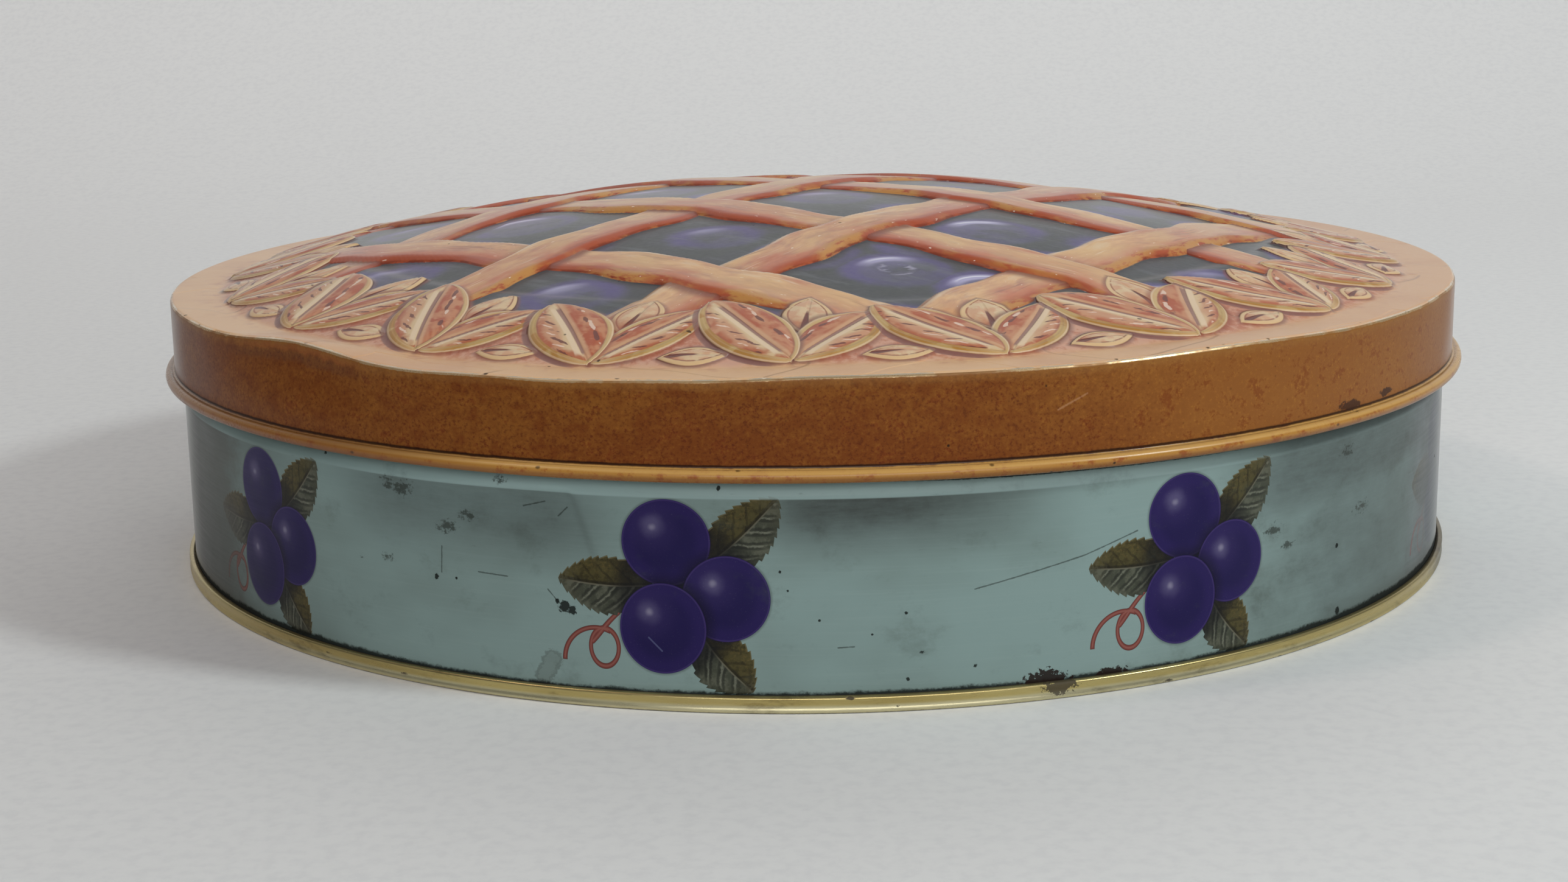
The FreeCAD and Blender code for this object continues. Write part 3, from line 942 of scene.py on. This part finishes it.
def sprig_leaf(ink, colours, x, y, stem, tip, half, lit):
    """A toothed leaf and its mask: one half olive, the other grey with pale veins."""
    along, side, run = beside(x, y, stem, tip)
    part_way = within(along / run)
    side = side * lit + sine(part_way * math.pi) * 0.5
    off = size_of(side)
    teeth = along * 0.7 - off * 0.2
    width = power(sine(power(part_way, 0.9) * math.pi), 0.7) * half
    width = width + (0.4 - (teeth - whole(teeth))) * 0.45
    edge = width - off - past_tips(along / run, run)
    blotch = ink.noise(x * 0.55, y * 0.55, 2.0, 4.0, 0.65)
    fine = ink.noise(x * 2.0, y * 2.0, 4.0, 3.0, 0.7)
    vein_step = 2.9
    veins = (along - off * 0.7 - off * off * 0.09) / vein_step + (blotch - 0.5) * 0.5
    vein = size_of(off_whole(veins)) * vein_step
    fading = smooth(edge, 0.2, 1.6)
    pale_vein = band(vein, 0.05, 0.05, 0.2) * fading * smooth(fine, 0.3, 0.55)
    grey = ink.over(
        colours.leaf_grey,
        ((94, 96, 82), smooth(blotch, 0.42, 0.62) * 0.7),
        ((36, 38, 33), band(vein, 0.55, 0.1, 0.4) * (0.25 + fading * 0.45)),
        ((122, 124, 110), pale_vein * 0.55))
    gold = ink.over(
        colours.leaf_gold,
        ((42, 38, 24), smooth(blotch, 0.45, 0.62) * 0.7),
        ((98, 84, 46), smooth(fine, 0.48, 0.66) * smooth(off, 0.8, 2.6) * 0.6),
        ((30, 27, 20), band(vein, 0.1, 0.03, 0.22) * fading * 0.5))
    leaf = ink.over(
        grey,
        (gold, smooth(side, -0.15, 0.15)),
        ((21, 21, 20), band(side, 0.28, 0.1, 0.3) * 0.6),
        ((103, 100, 85), band(side, 0.0, 0.05, 0.12) * smooth(part_way, 0.96, 0.8) * 0.75),
        ((90, 87, 69), smooth(part_way, 0.7, 1.0) * smooth(fine, 0.35, 0.6) * 0.5),
        ((18, 18, 21), smooth(part_way, 0.5, 0.28) * 0.8),
        ((106, 98, 71), band(edge, 0.1, 0.04, 0.1) * above(side, 0) * 0.7))
    return leaf, smooth(edge, -0.05, 0.06)


def sprig(ink, base, colours, x, y):
    """Three plums with three leaves and a looped tendril."""
    loop = size_of(oval(x, y, -10.4, -9.2, 2.2, 2.95) - 1) * 2.5
    tail = higher(size_of(span(x + 11.65, y + 11.45) - 5.2), x + 9.9, -11.2 - y)
    stem = stroke(x + sine(y * 0.75 - 1.2) * 0.25, y, (-7.9, -3.7), (-12.5, -8.4))
    off_line = lower(loop, tail, stem)
    red = ink.over(
        colours.tendril_red,
        ((150, 98, 88), band(off_line, 0, 0.04, 0.14) * 0.5),
        ((66, 30, 30), smooth(off_line, 0.2, 0.36) * 0.7))
    base = ink.over(
        base,
        (red, smooth(off_line, 0.42, 0.34)),
        *[sprig_leaf(ink, colours, x, y, *leaf) for leaf in SPRIG_LEAVES],
        ((14, 13, 30), smooth(span(x - 1.6, y - 0.6), 4.4, 4.0)))
    mist = ink.noise(x * 0.25, y * 0.25, 5.0, 3.0) - 0.5
    on_plums = 0
    for middle, up, wide, tall in PLUMS:
        rise = y - up
        away = oval(x, y, middle, up, wide, tall)
        shine = span(x - middle + wide * 0.3, rise - tall * 0.36)
        on_plum = smooth(away, 1.005, 0.993)
        blue = ink.over(
            colours.fruit_blue,
            ((42, 30, 86), band(away, 0.88, 0.04, 0.3) * 0.45),
            ((16, 15, 46), smooth(rise / tall, 0.3, -0.8) * smooth(away, 0.95, 0.5) * 0.12),
            ((50, 40, 88), smooth(shine, wide * 0.8, wide * 0.1) * 0.6),
            ((96, 90, 124), smooth(shine + mist * 1.6, wide * 0.36, 0.1) * 0.6),
            ((156, 152, 170), smooth(span(shine, mist * 3), 0.85, 0.1) * 0.42),
            ((74, 58, 112), band(away, 0.975, 0.005, 0.02) * 0.4))
        base = ink.over(
            base,
            ((16, 14, 30), smooth(away, 1.07, 1.0) * 0.4),
            ((12, 10, 28), smooth(away, 1.35, 1.0) * on_plums * 0.6),
            (blue, on_plum))
        on_plums = higher(on_plums, on_plum)
    return base


def print_wall(sizes, colours):
    """The wall's grey-green print with its fruit sprigs, scratches and rust."""
    ink = Finish("wall_print")
    x, y, z = ink.place()
    around = bearing(x, y) * WALL_R
    behind = smooth(size_of(around), 150, 182)
    front = 1 - behind
    cloud = ink.noise(around * 0.03, z * 0.05, 1.0, 3.0)
    brushed = ink.noise(around * 0.05, z * 2.2, 2.0, 4.0, 0.6)
    grime = ink.noise(around * 0.1, z * 0.13, 7.0, 6.0, 0.7)
    smear = ink.noise(around * 0.2, z * 1.1, 12.0, 5.0, 0.7)
    ragged = ink.noise(around * 1.3, z * 1.3, 3.0, 4.0, 0.7)
    grain = ink.noise(around * 4.0, z * 4.0, 4.0, 2.0, 0.6)
    rough, murk = ragged - 0.5, grime - 0.5
    drift = around + murk * 30
    below_shoulder = smooth(z, SHOULDER_Z - 0.6, SHOULDER_Z - 0.8)

    # A layer of dirt and painted shade above, darkest towards both sides and under the shoulder in
    # front, and thinner behind
    dirt_and_shade = higher(
        smooth(drift, 58, 98) * 0.62,
        smooth(drift, -86, -122) * 0.6,
        smooth(z, 16, 28) * smooth(around, 60, 84) * 0.85,
        smooth(z, 18, 28) * band(around, -55.0, 14.0, 16.0) * 0.6,
        smooth(z, 21.0, 31.0) * smooth(around, -12, 2) * smooth(around, 46, 8))
    dirt_and_shade = dirt_and_shade * higher(below_shoulder, smooth(around, 55, 85) * smooth(z, 34.9, 34.3))
    dirt_and_shade = dirt_and_shade * (1 - behind * 0.8)

    # A painted highlight on the shoulder's band under the hem, and a painted shadow line just under
    # the hem
    strip = smooth(z, SHOULDER_Z - 0.8, SHOULDER_Z - 0.5) * smooth(z, HEM_SHADOW_Z + 0.4, HEM_SHADOW_Z)
    strip = strip * smooth(size_of(around - 25), 150, 60)
    strip = strip * (1 - smooth(around, 46, 82) * 0.9) * smooth(around, -150, -60)
    hem_shadow_line = z + smooth(around, -20, 30) * front * 0.75 + rough * 0.3
    hem_shadow_line = smooth(hem_shadow_line, HEM_SHADOW_Z - 0.05, HEM_SHADOW_Z + 0.15) * smooth(z, 40.0, 39.0)

    # Smudges, a stain, and dirt along the seam
    smudge = lower(*[oval(around, z, middle, up, radius * 1.8, radius)
                     for middle, up, radius in WALL_SMUDGES])
    smudge = smooth(smudge + rough * 3.2 + (smear - 0.5) * 2.0, 0.75, 0.2)
    stain = stroke(around, z, *WALL_STAIN) + rough * 2.0
    wide = smooth(around, 60, 140) * 0.9 + smooth(around, -40, -110) * 0.5
    dirt_z = SEAM_TOP + (0.35 + wide * (1 - behind * 0.6))
    dirt = smooth(z + rough * 0.9 + murk * 1.8, dirt_z + 0.3, dirt_z - 0.3)

    # Chips, scratches and rust
    chip = lower(*[oval(around, z, middle, up, radius, radius)
                   for middle, up, radius in WALL_CHIPS])
    chips = higher(smooth(chip + rough * 2.0, 0.9, 0.65),
                   ink.specks(around * 0.12, z * 0.13, 0.0, rough * 0.16, 0.05, 0.025, 0.86))
    scratch = lower(*[stroke(around, z, *ends) for ends in WALL_SCRATCHES])
    scratched = smooth(scratch + rough * 0.25, 0.15, 0.05)
    rust = lower(*[oval(around, z, *mark) for mark in WALL_RUST])
    rust = smooth(rust + rough * 2.2, 0.95, 0.85)
    dark = higher(chips, dirt)
    nick = smooth(stroke(around, z, *WALL_NICK), 0.16, 0.08)
    lap = band(size_of(around), WALL_R * math.pi - LAP_HALF, 0.06, 0.16)
    lap = lap * smooth(z, SHOULDER_Z + 0.5, SHOULDER_Z)
    fold = smooth(z, FOLD_Z - 0.2, FOLD_Z + 0.1)

    green = ink.over(
        colours.wall_green,
        ((104, 119, 114), smooth(cloud, 0.4, 0.7) * 0.5),
        ((140, 158, 155), smooth(brushed, 0.45, 0.8) * 0.22),
        # Dirt and painted shade
        ((60, 62, 60), dirt_and_shade * (0.3 + smear * 0.4 + grime * 0.6)))
    step = sizes.sprig_step * WALL_R
    from_first = around - sizes.sprig_turn * WALL_R
    most = sizes.sprigs_each_way
    number = lower(higher(whole(from_first / step + 0.5), -most), most)
    green = sprig(ink, green, colours, from_first - number * step, z - sizes.sprig_height / MM)
    green = ink.over(
        green,
        ((161, 164, 161), smooth(grain, 0.62, 0.8) * 0.1),
        ((72, 70, 64), smooth(drift, -107, -119) * below_shoulder * front * 0.62),
        ((112, 117, 120), smooth(around, 117, 131) * front * 0.6),
        # Painted highlight: the shoulder's band under the hem made lighter
        ((150, 172, 170), strip * 0.65),
        # Painted shadow: a dark line just under the hem
        ((24, 22, 20), hem_shadow_line * 0.92),
        ((66, 73, 64), smooth(grime, 0.53, 0.75) * 0.3),
        ((58, 66, 59), smooth(smear, 0.62, 0.76) * smooth(cloud, 0.45, 0.6) * 0.4),
        # Dirt and painted shade: greyer and darker towards both sides
        ((84, 88, 87), smooth(size_of(drift), 116, 138) * (1 - behind * 0.8) * 0.6),
        ((52, 50, 42), smooth(z + grime * 3, 8.5, 4.0) * smooth(size_of(around), 70, 130) * 0.5),
        ((58, 66, 62), smooth(z, 26.0, 6.0) * smooth(around, -96, -122) * front * 0.3),
        ((42, 46, 39), smudge * 0.75),
        ((92, 100, 94), smooth(stain, 1.3, 1.0) * 0.4),
        ((73, 79, 73), band(stain, 1.3, 0.1, 0.3) * 0.45),
        ((33, 37, 32), scratched * 0.65),
        ((88, 92, 128), nick * 0.6),
        ((17, 20, 17), dark * 0.93),
        ((33, 19, 14), rust * 0.95),
        ((40, 44, 40), lap * 0.8),
        (colours.lacquer_gold, fold))
    worn = higher(dark, rust, scratched)
    return ink.surface(
        green,
        roughness=0.36 + (brushed - 0.5) * 0.2 + murk * 0.12 + worn * 0.35,
        height=brushed * 0.008 - worn * 0.03 + ragged * 0.005 - lap * 0.05, strength=0.7,
        metallic=fold * 0.8, specular=0.14, coat=ink.glancing(0.82, 1.0) * (1 - worn),
        coat_roughness=0.3)


def gold_lacquer(ink, colours, grain, dirt, *marks):
    """Gold lacquer on bright tinplate, with its marks and dirt."""
    x, y, z = ink.place()
    cloud = ink.noise(x * 0.03, y * 0.03, z * 0.1, 3.0)
    gold = ink.over(
        colours.lacquer_gold,
        ((168, 146, 86), smooth(cloud, 0.4, 0.7) * 0.5),
        ((222, 206, 150), smooth(grain, 0.5, 0.8) * 0.4),
        *marks,
        ((44, 34, 22), dirt * 0.9))
    return ink.surface(
        gold, roughness=0.3 + (grain - 0.5) * 0.2 + dirt * 0.4,
        height=grain * 0.008 - dirt * 0.03, strength=0.6, metallic=0.85 - dirt * 0.75)


def inside_lacquer(name, colours):
    """The lacquer of the inside and the underside, a little scuffed."""
    ink = Finish(name)
    x, y, z = ink.place()
    cloud = ink.noise(x * 0.03, y * 0.03, z * 0.1, 3.0)
    grain = ink.noise(x * 0.5, y * 0.08, z * 0.3, 4.0, 0.6)
    ragged = ink.noise(x * 0.9, y * 0.9, z * 0.9, 4.0, 0.7)
    chips = ink.specks(x * 0.08, y * 0.08, z * 0.08, (ragged - 0.5) * 0.2, 0.07, 0.03, 0.6)
    dirt = higher(chips, smooth(ragged * cloud, 0.4, 0.5) * 0.3)
    return gold_lacquer(ink, colours, grain, dirt)


def seam_lacquer(colours):
    """The lacquer of the foot's seam: dull above, with a painted reflection low down in front,
    grimy and chipped.
    """
    ink = Finish("seam_lacquer")
    x, y, z = ink.place()
    around = bearing(x, y) * WALL_R
    grain = ink.noise(x * 0.2, y * 0.2, z * 4.0, 4.0, 0.6)
    ragged = ink.noise(x * 1.3, y * 1.3, z * 1.3, 4.0, 0.7)
    grime = ink.noise(x * 0.12, y * 0.12, z * 0.4, 5.0, 0.7)
    rough = ragged - 0.5
    rust = oval(around, z, *SEAM_RUST) + rough * 2.6
    low_line = smooth(z + rough * 0.3, 0.22, 0.05)
    top_line = smooth(z + rough * 0.3, SEAM_TOP - 0.1, SEAM_TOP - 0.02)
    dirt = higher(
        ink.specks(x * 0.16, y * 0.16, z * 0.5, rough * 0.3, 0.16, 0.08, 0.55),
        smooth(rust, 0.85, 0.75),
        top_line * smooth(span(x, y), WALL_R + 0.5, WALL_R + 0.3),
        low_line * 0.8)
    dim_right = smooth(around + (grime - 0.5) * 30, 122, 150) * smooth(around, 230, 155)
    return gold_lacquer(
        ink, colours, grain, dirt,
        ((172, 156, 110), smooth(z, 2.15, 2.45) * 0.6),
        # Painted reflection of the bright floor, low down in front
        ((204, 197, 162), smooth(z, 1.5, 0.9) * smooth(size_of(around), 125, 65) * 0.85),
        ((86, 70, 42), smooth(grime, 0.54, 0.72) * 0.45),
        ((50, 40, 28), dim_right * 0.75))


# Pieces


class TinPiece:
    """What the operators share."""

    bl_options = {"REGISTER", "UNDO"}

    def execute(self, context):
        self.make(context.scene.tin_sizes, context.scene.tin_colours)
        return {"FINISHED"}

    def skin(self, name, profile, sectors, material, **how):
        """Turns a skin from its profile and dresses it; one with map rows is a band, not a disc."""
        if "rows" in how:
            counts = [sectors] * len(profile)
        else:
            counts = disc_rings([radius for radius, _ in profile], sectors)
        dress(turned(name, profile, counts, **how), material, self.body, self.node)


class OBJECT_OT_tin_lid(TinPiece, bpy.types.Operator):
    """Makes the lid's pressed top, its skirt with the curled hem, and its inside"""

    bl_idname = "object.tin_lid"
    bl_label = "Lid"
    body, node, slot_name = "lid", "lid", "printed_lid"

    def make(self, sizes, colours):
        def pressed(pattern):
            """A shape that presses a pattern and dents the rim."""
            def shape(angles, radius, height):
                x, y, _ = turned_points(angles, radius, height).T
                return lid_dents(angles, radius, height + pattern(sizes, x, y))
            return shape

        edge_r = LID_R - RIM_ROUND
        edge_centre = (edge_r, RIM_Z - RIM_ROUND)
        pressed_r = 113.0
        radii = np.concatenate([np.arange(FINE_RING / 2, pressed_r, FINE_RING),
                                np.arange(pressed_r + 0.4, edge_r, PLAIN_RING)])
        top = dome(radii) + arc(edge_centre, RIM_ROUND, 90, 45, 3)
        self.skin("lid_top", top, PIE_SECTORS, print_pie(sizes, colours), shape=pressed(relief))

        curl_centre = (LID_R - SHEET + HEM_CURL_R, HEM_Z)
        outside = arc(edge_centre, RIM_ROUND, 45, 0, 3)
        outside += line((LID_R, SKIRT_TOP), (LID_R, HEM_CREASE_Z), 23)[1:]
        outside += [(LID_R, HEM_CREASE_Z), (LID_R + 0.02, HEM_CREASE_Z - 0.2)]
        outside += arc(curl_centre, HEM_CURL_R, 118, -180, 20)
        self.skin("lid_skirt", outside, EDGE_SECTORS, print_skirt(colours), rows=SKIRT_STRIPS,
                  shape=lid_dents)

        inner_r = LID_R - SHEET
        hollow = dome(np.arange(FINE_RING, edge_r, 2 * FINE_RING), SHEET)
        hollow += arc(edge_centre, RIM_ROUND - SHEET, 90, 0, 4)
        hollow += line((inner_r, SKIRT_TOP + 0.2), (inner_r, HEM_Z), 12)[1:]
        hollow += [(inner_r, HEM_Z)]
        self.skin("lid_inside", hollow, LINING_SECTORS,
                  inside_lacquer("lid_inside_lacquer", colours), inside=True,
                  shape=pressed(relief_under))


class OBJECT_OT_tin_wall(TinPiece, bpy.types.Operator):
    """Makes the rolled wall: its printed outside and its lacquered inside"""

    bl_idname = "object.tin_wall"
    bl_label = "Wall"
    body, node, slot_name = "tin", "body_wall", "printed_wall"

    def make(self, sizes, colours):
        fold_centre = (FOLD_R - SHEET, BODY_HEIGHT - SHEET)
        outside = line((WALL_R, WALL_FOOT_Z), (WALL_R, SHOULDER_Z - 0.4), 64)
        outside += [(WALL_R - inward, SHOULDER_Z + up)
                    for inward, up in ((0, -0.4), (0.06, -0.1), (0.22, 0.3))]
        outside += line((WALL_R - 0.3, SHOULDER_Z + 0.5), (NECK_R + 0.12, SHOULDER_TOP - 0.4), 4)
        outside += [(NECK_R + 0.04, SHOULDER_TOP - 0.2), (NECK_R, SHOULDER_TOP + 0.2)]
        outside += line((NECK_R, SHOULDER_TOP + 0.8), (NECK_R, FOLD_Z - 0.1), 12)[1:]
        outside += [(NECK_R, FOLD_Z - 0.1), (NECK_R + 0.2, FOLD_Z), (FOLD_R, FOLD_Z + 0.2)]
        outside += line((FOLD_R, FOLD_Z + 0.6), (FOLD_R, BODY_HEIGHT - 0.4), 4)
        outside += arc(fold_centre, SHEET, 0, 90, 5)
        self.skin("wall_outside", outside[::-1], WALL_SECTORS, print_wall(sizes, colours),
                  rows=WALL_STRIPS, shape=wall_dents)

        def lapped(angles, radius, height):
            """The side seam's lap stands in by the sheet at the back."""
            away = np.abs(angles - math.pi) * WALL_R
            lap = 1 - smooth(away, LAP_HALF - 0.2, LAP_HALF + 0.3)
            lap = lap * smooth(height, LAP_FOOT_Z, LAP_FOOT_Z + 0.3)
            lap = lap * (1 - smooth(height, LAP_TOP_Z - 0.4, LAP_TOP_Z))
            radius, height = wall_dents(angles, radius, height)
            return radius - SHEET * lap, height

        floor_z = PANEL_Z + SHEET
        wall_in, neck_in = WALL_R - SHEET, NECK_R - SHEET
        inside = arc(fold_centre, SHEET, 90, 180, 5)
        inside += line((neck_in, BODY_HEIGHT - 0.5), (neck_in, SHOULDER_TOP + 0.1), 14)
        inside += line((neck_in, SHOULDER_TOP + 0.1), (wall_in, SHOULDER_Z - 0.1), 5)
        inside += line((wall_in, SHOULDER_Z - 0.1), (wall_in, floor_z), 58)
        inside += [(wall_in, floor_z)]
        self.skin("wall_inside", inside, WALL_SECTORS, inside_lacquer("wall_lacquer", colours),
                  rows=WALL_STRIPS, shape=lapped)


class OBJECT_OT_tin_end(TinPiece, bpy.types.Operator):
    """Makes the recessed end and the seam round the foot"""

    bl_idname = "object.tin_end"
    bl_label = "End"
    body, node, slot_name = "tin", "base_end", "gold_lacquer"

    def make(self, sizes, colours):
        seam = [(WALL_R - 0.05, 2.3), (WALL_R + 0.05, 2.5)]
        seam += [(WALL_R + 0.2, SEAM_TOP), (WALL_R + 0.55, SEAM_TOP)]
        seam += arc((SEAM_R - SEAM_ROUND, SEAM_TOP - SEAM_ROUND), SEAM_ROUND, 80, 0, 6)
        seam += [(SEAM_R - waist, z) for waist, z in (
            (0.03, 1.9), (0.12, 1.6), (0.16, 1.35), (0.15, 1.0), (0.08, 0.75), (0.02, 0.55))]
        seam += arc((SEAM_R - 0.35, 0.35), 0.35, 0, -90, 5)
        seam += [(PANEL_R + 0.4, 0.0), (PANEL_R + 0.1, 0.1), (PANEL_R, 0.4)]
        self.skin("end_seam", seam, EDGE_SECTORS, seam_lacquer(colours), rows=SEAM_STRIPS)

        radii = np.concatenate([[0.5, 1.0, 2.0], np.arange(4, PANEL_R - 0.8, 4)])
        under = [(r, PANEL_Z) for r in radii]
        under += [(PANEL_R - 0.4, PANEL_Z), (PANEL_R - 0.1, PANEL_Z - 0.1)]
        under += [(PANEL_R, PANEL_Z - 0.4), (PANEL_R, 0.4)]
        self.skin("end_underside", under, LINING_SECTORS,
                  inside_lacquer("underside_lacquer", colours), inside=True)

        floor = [(r, PANEL_Z + SHEET) for r in (*radii, PANEL_R + SHEET)]
        self.skin("end_inside", floor, LINING_SECTORS, inside_lacquer("floor_lacquer", colours))


# The studio, in metres: lights as name, place, target, size, watts and colour
LIGHTS = (
    ("right_light", (0.69, -0.36, 0.635), (0.0, 0.0, 0.0), (0.13, 0.13), 3.55, (0.93, 1.0, 1.0)),
    ("left_light", (-0.86, -0.27, 1.4), (0.0, 0.0, 0.0), (0.2, 0.2), 2.2, (1.0, 0.8, 0.69)),
    ("front_light", (0.15, -1.4, 0.55), (0.0, 0.0, 0.02), (1.4, 0.5), 8.9, (1.0, 1.0, 1.0)),
    ("backdrop_light", (0.0, 0.45, 1.2), (0.0, 1.6, 0.6), (2.0, 0.3), 6.5, (1.0, 1.0, 1.0)),
)
ROOM_SHADE = (0.9, 0.95, 1.0, 1)
ROOM_STRENGTH = 0.125
PAPER_FRONT_Y = -2.5
PAPER_BEND_Y = 0.5
PAPER_BEND_R = 0.5
PAPER_TOP = 2.6
PAPER_HALF_WIDTH = 3.0
CAMERA_PLACE = (0.00086, -0.444614, 0.111678)
CAMERA_PITCH = 0.21330
CAMERA_ROLL = -0.016641
CAMERA_YAW = -0.0145006
CAMERA_LENS = 53.106


class SCENE_OT_tin_stage(TinPiece, bpy.types.Operator):
    """Makes the paper sweep, the soft lights and the camera"""

    bl_idname = "scene.tin_stage"
    bl_label = "Stage"

    def make(self, sizes, colours):
        scene = bpy.context.scene
        scene.view_settings.view_transform = "Standard"
        self.sweep(colours)
        for name, place, target, size, watts, shade in LIGHTS:
            lamp = bpy.data.lights.new(name, "AREA")
            lamp.shape = "RECTANGLE"
            lamp.size, lamp.size_y = size
            lamp.energy = watts
            lamp.color = shade
            aim = Vector(target) - Vector(place)
            self.hold(name, lamp, place, aim.to_track_quat("-Z", "Y").to_matrix().to_4x4())
        world = bpy.data.worlds.new("room")
        world.use_nodes = True
        room = world.node_tree.nodes["Background"].inputs
        room["Color"].default_value = ROOM_SHADE
        room["Strength"].default_value = ROOM_STRENGTH
        scene.world = world

        camera = bpy.data.cameras.new("camera")
        camera.sensor_width = 36.0
        camera.lens = CAMERA_LENS
        camera.clip_start = 0.01
        turns = ((-CAMERA_YAW, "Z"), (math.pi / 2 - CAMERA_PITCH, "X"), (CAMERA_ROLL, "Z"))
        aim = Matrix()
        for angle, axis in turns:
            aim = aim @ Matrix.Rotation(angle, 4, axis)
        scene.camera = self.hold("camera", camera, CAMERA_PLACE, aim)

    def hold(self, name, held, place, aim):
        """Sets up a light or a camera at a place."""
        holder = bpy.data.objects.new(name, held)
        holder.matrix_world = Matrix.Translation(place) @ aim
        bpy.context.scene.collection.objects.link(holder)
        return holder

    def sweep(self, colours):
        """A sheet of paper that lies on the table and rises behind the tin."""
        section = [(y, 0.0) for y in (PAPER_FRONT_Y, -1.0, 0.0)]
        section += arc((PAPER_BEND_Y, PAPER_BEND_R), PAPER_BEND_R, -90, 0, 12)
        section.append((PAPER_BEND_Y + PAPER_BEND_R, PAPER_TOP))
        verts = [(x, y, z) for y, z in section for x in (-PAPER_HALF_WIDTH, PAPER_HALF_WIDTH)]
        faces = [(2 * n, 2 * n + 1, 2 * n + 3, 2 * n + 2) for n in range(len(section) - 1)]
        mesh = bpy.data.meshes.new("paper_sweep")
        mesh.from_pydata(verts, [], faces)
        mesh.shade_smooth()
        paper = bpy.data.objects.new("paper_sweep", mesh)
        bpy.context.scene.collection.objects.link(paper)
        ink = Finish("paper")
        place = ink.node("ShaderNodeTexCoord", {}, {}, "Object")
        values = {"Vector": place, "Scale": 400.0, "Detail": 4.0, "Roughness": 0.6}
        fibre = ink.node("ShaderNodeTexNoise", {}, values, "Fac")
        shade = ink.over(colours.paper, ((218, 218, 220), smooth(fibre, 0.4, 0.7) * 0.3))
        shader = ink.node(
            "ShaderNodeBsdfPrincipled", {}, {"Base Color": shade, "Roughness": 0.8}, "BSDF")
        ink.node("ShaderNodeOutputMaterial", {}, {"Surface": shader})
        paper.data.materials.append(ink.material)


class VIEW3D_PT_tin(bpy.types.Panel):
    """Lists the tin's pieces and the stage"""

    bl_label = "Pie tin"
    bl_space_type = "VIEW_3D"
    bl_region_type = "UI"
    bl_category = "Pie tin"

    def draw(self, context):
        for step in STEPS:
            self.layout.operator(step.bl_idname)
        for settings in (context.scene.tin_sizes, context.scene.tin_colours):
            for name in settings.__annotations__:
                self.layout.prop(settings, name)


STEPS = (SCENE_OT_tin_stage, OBJECT_OT_tin_wall, OBJECT_OT_tin_end, OBJECT_OT_tin_lid)
CLASSES = (TinSizes, TinColours, *STEPS, VIEW3D_PT_tin)


def register():
    for each in CLASSES:
        bpy.utils.register_class(each)
    bpy.types.Scene.tin_sizes = PointerProperty(type=TinSizes)
    bpy.types.Scene.tin_colours = PointerProperty(type=TinColours)


def unregister():
    del bpy.types.Scene.tin_colours
    del bpy.types.Scene.tin_sizes
    for each in reversed(CLASSES):
        bpy.utils.unregister_class(each)


def main():
    register()
    bpy.ops.scene.tin_stage()
    bpy.ops.object.tin_wall()
    bpy.ops.object.tin_end()
    bpy.ops.object.tin_lid()


if __name__ == "__main__":
    main()
